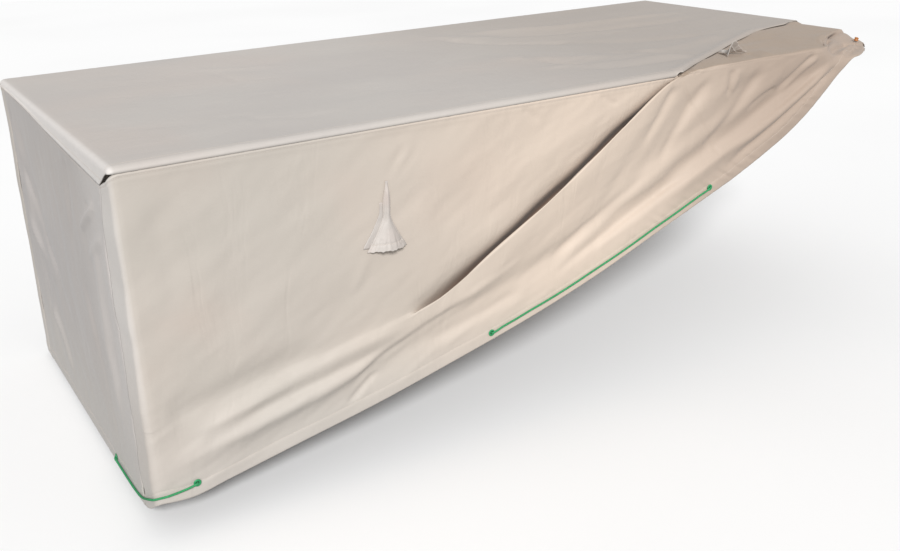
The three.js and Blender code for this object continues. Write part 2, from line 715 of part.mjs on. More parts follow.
function leftEndPanel() {
  const heightShares = [0, 0.05, 0.12, 0.2, 0.3, 0.4, 0.5, 0.6, 0.7, 0.8, 0.9, 1];
  const count = 16;
  const margin = { columns: 3, top: 0.12 };
  const backY = back - backWrap - seamGap;
  const seamRow = uprightSeamRows[uprightSeamRows.length - 1];
  const columns = [];
  for (let n = 0; n <= count; n += 1) {
    const topY = mix(backY, seamRow.y + seamGap, n / count);
    const topZ = coverHeight - readTable(leftDropRows, 'y', 'drop', topY) - 2 * seamGap;
    const sideFade = ease(n / margin.columns) * ease((count - n) / margin.columns);
    columns.push(heightShares.map((share) => {
      const level = mix(topZ, leftHemRows[leftHemRows.length - 1].z, share);
      const frontY = readTable(uprightSeamRows, 'z', 'y', level) + seamGap;
      const y = mix(backY, frontY, n / count);
      const z = mix(topZ, readTable(leftHemRows, 'y', 'z', y), share);
      const fade = ease(share / margin.top) * sideFade;
      return point(left - flareAt(z) - fade * foldHeight(leftEndFolds, y, z), y, z);
    }));
  }
  return sheetFromGrid(columns, clothThickness);
}

function rightEndPanel() {
  const heightShares = [0, 0.1, 0.22, 0.36, 0.5, 0.64, 0.78, 0.9, 1];
  const count = 18;
  const margin = { columns: 4, top: 0.2 };
  const narrowest = 10;
  const columns = [];
  for (let n = 0; n <= count; n += 1) {
    const y = mix(rightHemRows[0].y, back - backWrap - seamGap, n / count);
    const topZ = readTable(rightEdgeRows, 'y', 'z', y) - edgeRadius - 2 * seamGap;
    const hemZ = Math.min(topZ - narrowest, readTable(rightHemRows, 'y', 'z', y));
    columns.push(heightShares.map((share) => {
      const z = mix(topZ, hemZ, share);
      const fade = ease(share / margin.top) * ease((count - n) / margin.columns);
      return point(right + flareAt(z) + fade * foldHeight(rightEndFolds, y, z), y, z);
    }));
  }
  return sheetFromGrid(columns, clothThickness);
}

// The face of the front panel left of the pleat, at a place on it.
function frontFaceY(x, z) {
  return frontLine(z) - frontRelief(x, z);
}

// A hooded vent: a narrow neck at its top that flares to an open mouth. Across runs from -1 to 1,
// down from 0 at the apex to 1 at the mouth. The function given places a point of the hood's foot.
function ventHood(vent, footAt, up) {
  const acrossShares = [-1, -0.85, -0.65, -0.42, -0.2, 0, 0.2, 0.42, 0.65, 0.85, 1];
  const downShares = [0, 0.12, 0.25, 0.38, 0.5, 0.6, 0.7, 0.8, 0.9, 1];
  const clear = clothThickness + 2;
  const flareStart = 0.42;
  const neckRise = 6;
  const ruffle = { height: 2.2, turns: 11, slant: 7 };
  const columns = downShares.map((down) => acrossShares.map((across) => {
    const flare = ease((down - flareStart) / (1 - flareStart)) ** 0.8;
    const halfWidth = mix(vent.neck, vent.mouth, flare);
    const shifted = across - vent.skew * (1 - across * across);
    const crown = (1 - shifted * shifted) ** (1 + vent.pinch);
    const tunnel = mix(neckRise, vent.rise, flare) * ease(5 * down);
    const wave = flare * (ruffle.height * Math.sin(across * ruffle.turns) + ruffle.slant * across);
    const foot = footAt(across * halfWidth, down * vent.length + wave);
    return foot.addScaledVector(up, clear + tunnel * crown);
  }));
  return sheetFromGrid(columns, ventThickness);
}

function frontVentHood() {
  const lean = 0.06;
  const footAt = (side, along) => {
    const x = frontVent.x + side - lean * along;
    const z = frontVent.z - along;
    return point(x, frontFaceY(x, z), z);
  };
  return ventHood(frontVent, footAt, point(0, -1, 0));
}

function raisedVentHood() {
  const turned = { cos: 0.98, sin: 0.2 };
  const footAt = (side, along) => point(
    raisedVent.x + along * turned.sin - side * turned.cos,
    raisedVent.y - along * turned.cos - side * turned.sin,
    raisedVent.z,
  );
  return ventHood(raisedVent, footAt, point(0, 0, 1));
}

// A round cord along a route of points.
function drawcord(route) {
  const sides = 8;
  const stepLength = 3 * drawcordDiameter;
  const curve = new THREE.CatmullRomCurve3(route.map((at) => point(...at)), false, 'centripetal');
  const corners = Array.from({ length: sides }, (_, n) => {
    const angle = (2 * Math.PI * n) / sides;
    return new THREE.Vector2(Math.cos(angle), Math.sin(angle)).multiplyScalar(drawcordDiameter / 2);
  });
  const steps = Math.round(curve.getLength() / stepLength);
  return new THREE.ExtrudeGeometry(new THREE.Shape(corners), { steps, extrudePath: curve, bevelEnabled: false });
}

// A flat ring with a rounded rim, its axis along Y.
function eyeletRing() {
  const { radius, bore, height, rounding } = eyelet;
  const outline = [
    [bore, 0],
    [radius, 0],
    [radius, height / 2],
    [radius - rounding, height],
    [bore + rounding, height],
    [bore, height / 2],
    [bore, 0],
  ];
  return new THREE.LatheGeometry(outline.map(([r, h]) => new THREE.Vector2(r, h)), 20);
}

// A small turned stop with a waist.
function toggleBody() {
  const { radius, height } = hemToggle;
  const outline = [
    [0, 0],
    [0.8 * radius, 0],
    [radius, 0.25 * height],
    [0.75 * radius, 0.5 * height],
    [0.9 * radius, 0.8 * height],
    [0.5 * radius, height],
    [0, height],
  ];
  return new THREE.LatheGeometry(outline.map(([r, h]) => new THREE.Vector2(r, h)), 14);
}

const cover = new THREE.Group();
cover.position.z = -mountHeight;

function addPiece(name, geometry, colour) {
  const piece = new THREE.Mesh(geometry, clothMaterial(colour));
  piece.name = name;
  cover.add(piece);
  return piece;
}

// Turns the Y axis of a small piece to point out of the cloth.
function standOn(piece, place, outward) {
  piece.position.set(...place);
  piece.quaternion.setFromUnitVectors(point(0, 1, 0), point(...outward).normalize());
}

addPiece('top_panel', topPanel(), clothTop);
addPiece('front_panel', frontPanel(), clothFront);
addPiece('back_panel', backPanel(), clothFront);
addPiece('left_end_panel', leftEndPanel(), clothEnd);
addPiece('right_end_panel', rightEndPanel(), clothEnd);
addPiece('front_vent_hood', frontVentHood(), clothFront);
addPiece('raised_vent_hood', raisedVentHood(), clothFront);
addPiece('corner_drawcord', drawcord(cornerRoute), cordGreen);
addPiece('front_drawcord', drawcord(frontRoute), cordGreen);
for (const { name, place, outward } of eyeletPlaces) {
  standOn(addPiece(name, eyeletRing(), cordGreen), place, outward);
}
standOn(addPiece('hem_toggle', toggleBody(), toggleBrown), hemTogglePlace.place, hemTogglePlace.outward);

export default cover;
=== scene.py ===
import math

import bmesh
import bpy
import numpy as np
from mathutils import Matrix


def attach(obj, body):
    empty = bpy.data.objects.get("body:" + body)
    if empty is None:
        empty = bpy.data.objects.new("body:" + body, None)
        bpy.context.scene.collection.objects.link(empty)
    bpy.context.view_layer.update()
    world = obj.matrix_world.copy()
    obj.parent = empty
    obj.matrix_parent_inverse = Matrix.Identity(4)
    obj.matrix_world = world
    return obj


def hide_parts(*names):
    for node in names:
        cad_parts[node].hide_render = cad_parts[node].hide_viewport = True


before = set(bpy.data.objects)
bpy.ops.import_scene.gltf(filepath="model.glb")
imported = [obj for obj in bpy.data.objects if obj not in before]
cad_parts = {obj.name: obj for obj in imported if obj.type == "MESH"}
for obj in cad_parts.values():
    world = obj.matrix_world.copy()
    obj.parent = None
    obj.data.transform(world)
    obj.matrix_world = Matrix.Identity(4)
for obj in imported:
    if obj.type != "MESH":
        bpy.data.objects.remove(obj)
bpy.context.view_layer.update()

# A fitted cloth cover whose front right corner has been lifted and thrown back.
# Metres. X runs along the cover, -Y is its front, +Z is up. The tables count heights from the
# ground, and every surface is lowered to the frame's origin under the top when its mesh is made.

# Driving sizes
LENGTH = 2.000
DEPTH = 0.950
HEIGHT = 0.710
CLOTH = 0.0017
VENT_CLOTH = 0.0012
BACKING_CLOTH = 0.0006
SEAM_GAP = 0.0007
EDGE = 0.012
BACK_WRAP = 0.050
TOP_SAG = 0.007
MIDDLE_DIP = 0.004
END_FLARE = 0.009
FRONT_FLARE = 0.4 * END_FLARE
SLIT = 0.0025
DROP_LEAN = 0.0028
TUCK = 0.007
UNDER_CLOTH = 0.0024
LIP = 0.013
LIP_RISE = 0.006
HEM_BAND = 0.027
SMALL_RIPPLE = 0.0003
CORD = 0.0044

LEFT = -LENGTH / 2
RIGHT = LENGTH / 2
FRONT = -DEPTH / 2
BACK = DEPTH / 2
PANEL_DEPTH = 0.002
LOWERED = HEIGHT - TOP_SAG - MIDDLE_DIP - PANEL_DEPTH
GROUND = -LOWERED


def table(columns, *lines):
    """A table with one array for each named column."""
    return dict(zip(columns.split(), np.array(lines, float).T))


# Main pleat: where its fold runs, how deep the valley beside it is, how wide the valley's soft side
# is, and how far the fold's edge leans back over the valley.
PLEAT = table(
    "x z depth slope over",
    (-1, 0.214, 0.0004, 0.05, 0),
    (-0.874, 0.241, 0.0004, 0.05, 0),
    (-0.724, 0.266, 0.0006, 0.05, 0),
    (-0.516, 0.3, 0.001, 0.044, 0),
    (-0.46, 0.31, 0.003, 0.04, 0.001),
    (-0.415, 0.32, 0.016, 0.032, 0.005),
    (-0.264, 0.399, 0.031, 0.031, 0.005),
    (-0.052, 0.519, 0.038, 0.034, 0.007),
    (0.104, 0.618, 0.036, 0.029, 0.009),
    (0.2, 0.673, 0.02, 0.017, 0.01),
    (0.24, 0.69, 0.008, 0.01, 0.008),
)
PLEAT_SLANT = 0.85
PLEAT_SHARPNESS = 1.7
PLEAT_UNDER = 0.72
NOSE = 0.0032
NOSE_SHARE = 0.3
FOLDED_FROM = 0.002
FOLDED_SPREAD = 0.006
OPEN_VALLEY = -0.008
OPEN_NOSE = 0.004
RIDGE_SHARE = 0.27
RIDGE_SPREAD = 0.06
RIDGE_SETTLE = 0.035

LEFT_SECTIONS = table(
    "fold_x hem_x",
    (-0.984, -0.984),
    (-0.7, -0.672),
    (-0.433, -0.374),
    (-0.2, -0.11),
    (-0.052, 0.075),
    (0.08, 0.235),
    (0.17, 0.34),
    (0.24, 0.43),
)
RIGHT_SECTIONS = table(
    "fold_x fold_y crest_x crest_y crest_z hem_x hem_y hem_z",
    (0.24, -0.469, 0.246, -0.479, 0.696, 0.43, -0.476, 0.43),
    (0.275, -0.449, 0.29, -0.474, 0.706, 0.48, -0.477, 0.452),
    (0.323, -0.421, 0.345, -0.473, 0.708, 0.53, -0.478, 0.475),
    (0.405, -0.378, 0.435, -0.472, 0.708, 0.6, -0.478, 0.509),
    (0.5, -0.328, 0.53, -0.471, 0.708, 0.665, -0.478, 0.549),
    (0.612, -0.268, 0.63, -0.47, 0.708, 0.728, -0.477, 0.597),
    (0.712, -0.22, 0.72, -0.46, 0.708, 0.786, -0.476, 0.643),
    (0.8, -0.18, 0.8, -0.4, 0.708, 0.845, -0.47, 0.67),
    (0.895, -0.158, 0.893, -0.34, 0.706, 0.925, -0.43, 0.67),
    (0.988, -0.15, 0.988, -0.3, 0.702, 0.988, -0.376, 0.675),
)
CREST_RADIUS = 0.014
CREST_OVERHANG = 0.003
STEP_FROM = 0.700
STEP_SPREAD = 0.120
STEP_RUN = 0.007
STEP_FALL = 0.01
TIP_LUMP = 0.0025
TIP_LUMPS = 9

# Slit at the tip: where along the crest its middle is, its reach each way, how far its edge stands
# over it and its foot lies back, in runs of the step, and its depth in falls of the step.
SLIT_MIDDLE = 0.89
SLIT_REACH = 0.04
SLIT_OVER = 1.5
SLIT_BACK = 1.2
SLIT_FALL = 1.5

FRONT_HEM = table(
    "x z",
    (-1, 0.074),
    (-0.943, 0.068),
    (-0.866, 0.081),
    (-0.719, 0.108),
    (-0.548, 0.139),
    (-0.364, 0.18),
    (-0.166, 0.228),
    (0.014, 0.281),
    (0.196, 0.346),
    (0.43, 0.43),
)
LEFT_DROP = table(
    "y drop", (-0.42, 0.042), (-0.2, 0.035), (0, 0.027), (0.216, 0.016), (0.475, 0.013)
)
UPRIGHT_SEAM = table(
    "z y", (0, -0.392), (0.295, -0.393), (0.5, -0.376), (0.6, -0.392), (0.672, -0.414)
)
LEFT_HEM = table(
    "y z", (-0.475, 0.074), (-0.44, 0.048), (-0.392, 0.026), (-0.32, 0.019), (0.475, 0.012)
)
RIGHT_HEM = table(
    "y z",
    (-0.376, 0.664),
    (-0.3, 0.592),
    (-0.1, 0.463),
    (0.15, 0.343),
    (0.425, 0.226),
    (0.475, 0.205),
)
BACK_HEM = table(
    "x z", (-1, 0.012), (-0.3, 0.012), (0.3, 0.046), (0.7, 0.116), (1, 0.205)
)
RIGHT_EDGE = table(
    "y z",
    (-0.376, 0.675),
    (-0.312, 0.691),
    (-0.296, 0.7),
    (-0.2, 0.701),
    (-0.15, 0.707),
    (0.475, 0.71),
)

# Soft folds, as in the solids: start, bend and end of each, two numbers each, its height out of
# the cloth and its half width. The bend is the corner that the curve is drawn towards. The front's
# begin with the ridge at the lower left, the flap's troughs follow, and the left face's belly ends.
FRONT_FOLDS = [
    (-0.99, 0.14, -0.76, 0.185, -0.47, 0.262, 0.009, 0.026),
    (-0.62, 0.19, -0.4, 0.268, 0.06, 0.402, -0.007, 0.024),
    (-0.06, 0.362, 0.33, 0.5, 0.748, 0.696, -0.015, 0.024),
    (0.2, 0.43, 0.47, 0.535, 0.77, 0.68, 0.008, 0.022),
    (0.09, 0.47, 0.35, 0.575, 0.52, 0.706, -0.007, 0.026),
    (-0.114, 0.356, 0.17, 0.5, 0.345, 0.704, -0.006, 0.026),
    (0.02, 0.445, 0.16, 0.575, 0.25, 0.704, -0.004, 0.02),
    (0.06, 0.42, 0.3, 0.52, 0.44, 0.7, 0.003, 0.03),
    (-0.9, 0.47, -0.5, 0.45, -0.15, 0.56, 0.005, 0.13),
    (-0.42, 0.5, -0.3, 0.52, -0.12, 0.6, -0.005, 0.06),
]

# Two long wrinkles, one towards the pleat, and the dip of the middle
TOP_FOLDS = [
    (0.06, 0.36, 0.16, 0.15, 0.64, 0.06, 0.005, 0.03),
    (0.04, -0.03, 0.12, -0.15, 0.42, -0.33, 0.005, 0.028),
    (0.25, 0.1, 0.4, -0.09, 0.7, -0.17, -0.005, 0.03),
    (-0.7, 0.02, 0, 0.04, 0.7, 0.15, -MIDDLE_DIP, 0.19),
]

# The drag folds of the ends and the back run down from the upper corners
LEFT_END_FOLDS = [
    (0.43, 0.69, 0.395, 0.42, 0.23, 0.06, -0.009, 0.026),
    (0.4, 0.67, 0.33, 0.43, 0.13, 0.08, 0.008, 0.028),
    (0.35, 0.66, 0.21, 0.44, -0.06, 0.16, -0.005, 0.034),
    (-0.35, 0.59, -0.33, 0.4, -0.35, 0.12, -0.004, 0.022),
    (-0.25, 0.36, 0, 0.33, 0.25, 0.34, 0.007, 0.15),
]
RIGHT_END_FOLDS = [
    (-0.33, 0.65, -0.08, 0.59, 0.38, 0.52, 0.009, 0.034),
    (-0.3, 0.62, -0.04, 0.5, 0.4, 0.36, -0.01, 0.034),
    (-0.26, 0.58, 0, 0.44, 0.4, 0.27, 0.008, 0.028),
]
BACK_FOLDS = [
    (0.96, 0.6, 0.3, 0.33, -0.5, 0.16, -0.009, 0.06),
    (0.93, 0.33, 0.5, 0.19, 0, 0.09, 0.008, 0.044),
    (0.94, 0.48, 0.7, 0.34, 0.42, 0.23, 0.007, 0.04),
    (-0.7, 0.38, -0.2, 0.36, 0.4, 0.42, 0.008, 0.18),
]

# Finer creases, placed one by one: start, middle and end on the crease, height and half width. The
# front's go from the lower left ridges to the flap's lines, then up to the vent and the top edge.
FRONT_CREASES = [
    (-0.94, 0.184, -0.705, 0.25, -0.44, 0.298, 0.008, 0.016),
    (-0.9, 0.16, -0.7, 0.201, -0.52, 0.246, 0.005, 0.013),
    (-0.86, 0.192, -0.68, 0.228, -0.47, 0.27, -0.004, 0.011),
    (-0.985, 0.24, -0.86, 0.256, -0.64, 0.302, -0.008, 0.03),
    (-0.61, 0.158, -0.573, 0.188, -0.54, 0.21, -0.005, 0.006),
    (-0.603, 0.197, -0.487, 0.259, -0.293, 0.319, -0.0045, 0.01),
    (-0.56, 0.25, -0.43, 0.284, -0.18, 0.376, 0.0035, 0.012),
    (0.232, 0.68, 0.192, 0.628, 0.136, 0.552, -0.0032, 0.01),
    (0.338, 0.684, 0.268, 0.606, 0.19, 0.5, -0.005, 0.012),
    (0.402, 0.694, 0.399, 0.666, 0.39, 0.63, -0.0045, 0.008),
    (0.42, 0.692, 0.416, 0.668, 0.405, 0.636, 0.003, 0.008),
    (0.512, 0.69, 0.425, 0.602, 0.326, 0.508, -0.0065, 0.014),
    (0.565, 0.676, 0.5, 0.606, 0.385, 0.518, 0.0028, 0.018),
    (0.68, 0.697, 0.627, 0.666, 0.557, 0.614, -0.0045, 0.006),
    (0.695, 0.69, 0.64, 0.656, 0.57, 0.604, 0.0035, 0.007),
    (0.563, 0.63, 0.512, 0.616, 0.462, 0.586, -0.005, 0.007),
    (0.76, 0.682, 0.366, 0.51, -0.15, 0.293, -0.01, 0.011),
    (0.745, 0.664, 0.592, 0.583, 0.39, 0.487, 0.0055, 0.009),
    (0.775, 0.661, 0.6, 0.562, 0.39, 0.459, -0.009, 0.0075),
    (0.18, 0.498, 0.03, 0.418, -0.11, 0.343, -0.0055, 0.013),
    (0.26, 0.492, 0.09, 0.424, -0.1, 0.336, 0.004, 0.014),
    (-0.18, 0.3, -0.3, 0.268, -0.441, 0.232, -0.0045, 0.012),
    (-0.3, 0.5, -0.15, 0.57, 0.06, 0.655, 0.0035, 0.03),
    (-0.49, 0.604, -0.474, 0.632, -0.452, 0.664, -0.0022, 0.005),
    (-0.484, 0.604, -0.462, 0.632, -0.436, 0.662, 0.0022, 0.005),
    (-0.478, 0.602, -0.45, 0.626, -0.42, 0.65, -0.0018, 0.005),
    (-0.552, 0.458, -0.562, 0.43, -0.585, 0.385, 0.002, 0.006),
    (-0.96, 0.64, -0.93, 0.56, -0.92, 0.43, -0.0022, 0.02),
    (-0.9, 0.65, -0.86, 0.59, -0.84, 0.48, 0.0018, 0.022),
    (-0.18, 0.69, -0.165, 0.675, -0.14, 0.655, -0.0025, 0.006),
    (0.02, 0.69, 0.04, 0.672, 0.07, 0.66, -0.0018, 0.006),
]

# On the flap's upper side: round the raised vent, then beside the slit at the tip
FLAP_TOP_CREASES = [
    (0.524, -0.405, 0.505, -0.44, 0.495, -0.474, -0.0035, 0.008),
    (0.56, -0.4, 0.545, -0.436, 0.53, -0.47, 0.003, 0.008),
    (0.52, -0.32, 0.62, -0.3, 0.74, -0.3, -0.0025, 0.012),
    (0.44, -0.35, 0.6, -0.262, 0.78, -0.18, 0.0025, 0.01),
    (0.86, -0.37, 0.8, -0.41, 0.705, -0.468, -0.008, 0.0075),
    (0.86, -0.346, 0.8, -0.388, 0.7, -0.453, 0.004, 0.007),
    (0.93, -0.372, 0.85, -0.415, 0.74, -0.47, -0.008, 0.008),
    (0.94, -0.392, 0.87, -0.424, 0.77, -0.474, 0.005, 0.007),
    (0.95, -0.4, 0.885, -0.43, 0.8, -0.476, -0.0055, 0.006),
    (0.9, -0.38, 0.93, -0.388, 0.96, -0.398, -0.004, 0.007),
    (0.66, -0.4, 0.72, -0.32, 0.8, -0.24, -0.0025, 0.014),
]

# Long wrinkles, faint ones, and broad bands towards the back and the fold
TOP_CREASES = [
    (0.089, 0.311, 0.166, 0.149, 0.417, 0.006, -0.0045, 0.011),
    (0.132, 0.014, 0.111, -0.136, 0.169, -0.291, -0.0045, 0.011),
    (0.28, -0.158, 0.37, -0.27, 0.463, -0.361, -0.0045, 0.011),
    (-0.57, 0.242, -0.56, 0.16, -0.56, 0.077, -0.0024, 0.011),
    (-0.679, -0.229, -0.672, -0.29, -0.665, -0.346, -0.0024, 0.011),
    (-0.6, 0.3, -0.5, 0.24, -0.4, 0.22, 0.0024, 0.013),
    (0.15, 0.33, 0.5, 0.23, 0.94, 0.2, 0.008, 0.026),
    (0.18, 0.23, 0.52, 0.13, 0.9, 0.08, -0.007, 0.028),
    (0.3, -0.2, 0.48, -0.23, 0.7, -0.15, 0.0055, 0.028),
    (0.1, -0.3, 0.26, -0.35, 0.44, -0.352, -0.0045, 0.014),
    (0, -0.2, 0.22, -0.29, 0.43, -0.32, 0.004, 0.016),
]

# Streaks down from the corners, and short pulls below the front one
LEFT_END_CREASES = [
    (0.369, 0.662, 0.43, 0.58, 0.455, 0.498, -0.006, 0.01),
    (0.43, 0.65, 0.352, 0.45, 0.12, 0.3, 0.007, 0.01),
    (0.35, 0.56, 0.225, 0.428, 0.08, 0.33, -0.006, 0.01),
    (0.237, 0.233, 0.163, 0.184, 0.128, 0.071, 0.0055, 0.009),
    (0.4, 0.46, 0.239, 0.298, 0.205, 0.06, -0.0045, 0.012),
    (-0.263, 0.593, -0.3, 0.597, -0.34, 0.593, -0.0035, 0.006),
    (-0.344, 0.612, -0.28, 0.578, -0.2, 0.53, 0.008, 0.009),
    (-0.372, 0.56, -0.31, 0.53, -0.23, 0.48, 0.005, 0.01),
    (-0.147, 0.672, -0.118, 0.567, -0.1, 0.437, -0.005, 0.016),
    (-0.3, 0.54, -0.29, 0.38, -0.31, 0.16, 0.006, 0.018),
    (-0.18, 0.42, -0.21, 0.26, -0.25, 0.06, -0.0035, 0.014),
    (0.04, 0.6, 0, 0.42, -0.06, 0.2, -0.003, 0.02),
]

FRONT_VENT = {"x": -0.5, "z": 0.598, "length": 0.132, "neck": 0.008, "mouth": 0.043, "rise": 0.017,
              "pinch": 0.15, "skew": 0.12}
RAISED_VENT = {"x": 0.47, "y": -0.366, "z": 0.709, "length": 0.05, "neck": 0.009, "mouth": 0.042,
               "rise": 0.032, "pinch": 0.2, "skew": 0.5}
VENT_TURN = (0.2, 0.98)
VENT_LEAN = 0.06
EYELET_RADIUS = 0.0075
EYELET_BORE = 0.0033
EYELET_HEIGHT = 0.0014

# Routes of the two drawcords, outside the cloth and just above the hem.
CORNER_ROUTE = [
    (-1.0152, -0.203, 0.039), (-1.0156, -0.21, 0.0381), (-1.0152, -0.214, 0.0374), (-1.0145, -0.228, 0.036),
    (-1.0142, -0.255, 0.036), (-1.0142, -0.29, 0.037), (-1.0142, -0.33, 0.039), (-1.0142, -0.37, 0.044),
    (-1.0142, -0.405, 0.054), (-1.0142, -0.432, 0.067), (-1.0143, -0.463, 0.083), (-1.0105, -0.474, 0.087),
    (-1.0063, -0.4784, 0.089), (-1.0008, -0.4816, 0.0905), (-0.988, -0.4842, 0.091), (-0.97, -0.4842, 0.0915),
    (-0.953, -0.4844, 0.093), (-0.94, -0.4852, 0.0955), (-0.929, -0.4848, 0.097),
]
FRONT_ROUTE = [
    (-0.269, -0.4841, 0.221), (-0.258, -0.4844, 0.2244), (-0.246, -0.4836, 0.228), (-0.21, -0.4832, 0.237),
    (-0.17, -0.4832, 0.248), (-0.13, -0.4831, 0.258), (-0.09, -0.483, 0.269), (-0.05, -0.4829, 0.281),
    (-0.01, -0.4827, 0.294), (0.03, -0.4826, 0.307), (0.07, -0.4825, 0.32), (0.11, -0.4824, 0.334),
    (0.15, -0.4823, 0.349), (0.19, -0.4821, 0.364), (0.23, -0.482, 0.378), (0.27, -0.4819, 0.393),
    (0.31, -0.4818, 0.408), (0.33, -0.4821, 0.4155), (0.341, -0.4828, 0.4197), (0.352, -0.4825, 0.424),
]
EYELETS = [
    ("corner_eyelet_end", (-1.0114, -0.203, 0.039), (-1, 0, 0)),
    ("corner_eyelet_front", (-0.929, -0.481, 0.097), (0, -1, 0)),
    ("front_eyelet_lower", (-0.269, -0.4804, 0.221), (0, -1, 0)),
    ("front_eyelet_upper", (0.352, -0.4788, 0.424), (0, -1, 0)),
]
TOGGLE_PLACE = (0.962, -0.374, 0.683)
TOGGLE_AXIS = (0.1, -0.2, 0.98)


def ease(value):
    """0 to 1 with soft ends: 3 t squared less 2 t cubed."""
    t = np.clip(value, 0, 1)
    return t * t * (3 - 2 * t)


def mix(a, b, t):
    """The value a share t of the way from a to b."""
    return a + (b - a) * t


def beside(*parts):
    """Grids with the same columns, their rows one after the other."""
    return np.concatenate(parts, axis=1)


def places_at(x, y, z):
    """Grid of places from their three parts."""
    return np.stack(np.broadcast_arrays(x, y, z), axis=-1)


def bell(distance, width):
    """1 at distance 0, falling as exp(-(distance / width) squared)."""
    return np.exp(-((distance / width) ** 2))


def cubic(a, b, slope_a, slope_b, t):
    """A cubic from a to b with the slopes given at its ends, at a share t of the way."""
    t2 = t * t
    t3 = t2 * t
    bent = slope_a * (t3 - 2 * t2 + t) + slope_b * (t3 - t2)
    return a * (2 * t3 - 3 * t2 + 1) + b * (3 * t2 - 2 * t3) + bent


def read(rows, key, column, at):
    """A column of a table at a key: a cubic through its rows whose slope at each row is the
    harmonic mean of the slopes on both sides, so that it never passes its neighbours."""
    x = rows[key]
    y = rows[column]
    at = np.clip(at, x[0], x[-1])
    i = np.clip(np.searchsorted(x, at) - 1, 0, len(x) - 2)
    step = np.diff(y) / np.diff(x)
    product = step[1:] * step[:-1]
    total = np.where(product > 0, step[1:] + step[:-1], 1)
    slope = np.concatenate([step[:1], np.where(product > 0, 2 * product / total, 0), step[-1:]])
    span = x[i + 1] - x[i]
    return cubic(y[i], y[i + 1], slope[i] * span, slope[i + 1] * span, (at - x[i]) / span)


def section_at(rows, place):
    """All columns of a table at a place counted in rows from 0."""
    counted = dict(rows, row=np.arange(len(next(iter(rows.values()))), dtype=float))
    return {column: read(counted, "row", column, place) for column in rows}


CURVE_POINTS = 25
END_FADE = 0.2
END_STRENGTH = 0.15


def relief(folds, a, b, through=False):
    """Height of all folds at places (a, b). Each follows a curve of second order, and at distance
    d from it stands height times exp(-(d / width) squared), fading at both ends of the curve."""
    a, b = np.broadcast_arrays(a, b)
    total = np.zeros(a.shape)
    t = np.linspace(0, 1, CURVE_POINTS)
    for *places, height, width in folds:
        start, middle, end = np.reshape(places, (3, 2))
        bend = 2 * middle - (start + end) / 2 if through else middle
        curve = np.outer((1 - t) ** 2, start) + np.outer(2 * t * (1 - t), bend) + np.outer(t * t, end)
        nearest = np.full(a.shape, np.inf)
        place = np.zeros(a.shape)
        for k in range(len(t) - 1):
            run = curve[k + 1] - curve[k]
            share = ((a - curve[k, 0]) * run[0] + (b - curve[k, 1]) * run[1]) / (run @ run)
            share = np.clip(share, 0, 1)
            gap = np.hypot(a - curve[k, 0] - share * run[0], b - curve[k, 1] - share * run[1])
            closer = gap < nearest
            nearest = np.where(closer, gap, nearest)
            place = np.where(closer, (k + share) / (len(t) - 1), place)
        floor = 0 if through else END_STRENGTH
        fade = ease(place / END_FADE) * ease((1 - place) / END_FADE) * (1 - floor) + floor
        total += height * fade * bell(nearest, width)
    return total


# Each wave of a pucker as a share of the longest and its strength, and how many times as long as
# the longest the waves are that bend and swell them
PUCKER_WAVES = ((1.0, 0.5), (0.61, 0.3), (0.37, 0.2))
PUCKER_BEND = 5.3
PUCKER_SWELL = 7.7


def pucker(along, seed, longest=0.034):
    """Uneven waves along a seam, between -1 and 1: three sine waves of unlike lengths whose
    strength swells and sinks along a slower one."""
    draw = np.random.default_rng(seed)
    waves = np.zeros_like(along)
    for share, weight in PUCKER_WAVES:
        phase = draw.uniform(0, 2 * math.pi)
        bend = 0.9 * np.sin(2 * math.pi * along / (longest * PUCKER_BEND) + draw.uniform(0, 6))
        waves += weight * np.sin(2 * math.pi * along / (longest * share) + phase + bend)
    swell = 0.65 + 0.35 * np.sin(2 * math.pi * along / (longest * PUCKER_SWELL) + draw.uniform(0, 6))
    return waves * swell


def ripples(a, b, seed, size, turn, stretch, count=14):
    """Gentle uneven waves of about the size given: a sum of plane waves with drawn directions,
    lengths and phases, stretched along the direction turned by turn."""
    draw = np.random.default_rng(seed)
    ca, sa = math.cos(turn), math.sin(turn)
    p = (a * ca + b * sa) / stretch
    q = -a * sa + b * ca
    total = np.zeros(np.broadcast(a, b).shape)
    for _ in range(count):
        way = draw.uniform(0, 2 * math.pi)
        length = size * draw.uniform(0.6, 1.7)
        phase = draw.uniform(0, 2 * math.pi)
        total += np.sin(2 * math.pi * (p * math.cos(way) + q * math.sin(way)) / length + phase)
    return total / math.sqrt(count)


def uneven(a, b, height, turn, large, small):
    """Gentle uneven waves with small ripples on them, each of the seed, size and stretch given."""
    small_ripples = SMALL_RIPPLE * ripples(a, b, small[0], small[1], turn, small[2], 20)
    return height * ripples(a, b, large[0], large[1], turn, large[2]) + small_ripples


# Surfaces


def arc_lengths(points, axis):
    """Length along each line of a grid, from its first point."""
    steps = np.linalg.norm(np.diff(points, axis=axis), axis=-1)
    zero = np.zeros_like(np.take(steps, [0], axis=axis))
    return np.concatenate([zero, np.cumsum(steps, axis=axis)], axis=axis)


def along_row(grid, row):
    """Length along one row of a grid, the same for all its rows."""
    return np.repeat(arc_lengths(grid[:, [row]], 0), grid.shape[1], axis=1)


def line_lengths(points):
    """Length along a line of points, from its first."""
    return arc_lengths(np.asarray(points, float), 0)


def add_object(name, data):
    """An object in the scene that shows the data given."""
    made = bpy.data.objects.new(name, data)
    bpy.context.scene.collection.objects.link(made)
    return made


def new_piece(name, points, faces):
    """A mesh object from its points and faces."""
    mesh = bpy.data.meshes.new(name)
    mesh.from_pydata(np.asarray(points).tolist(), [], faces)
    return add_object(name, mesh)


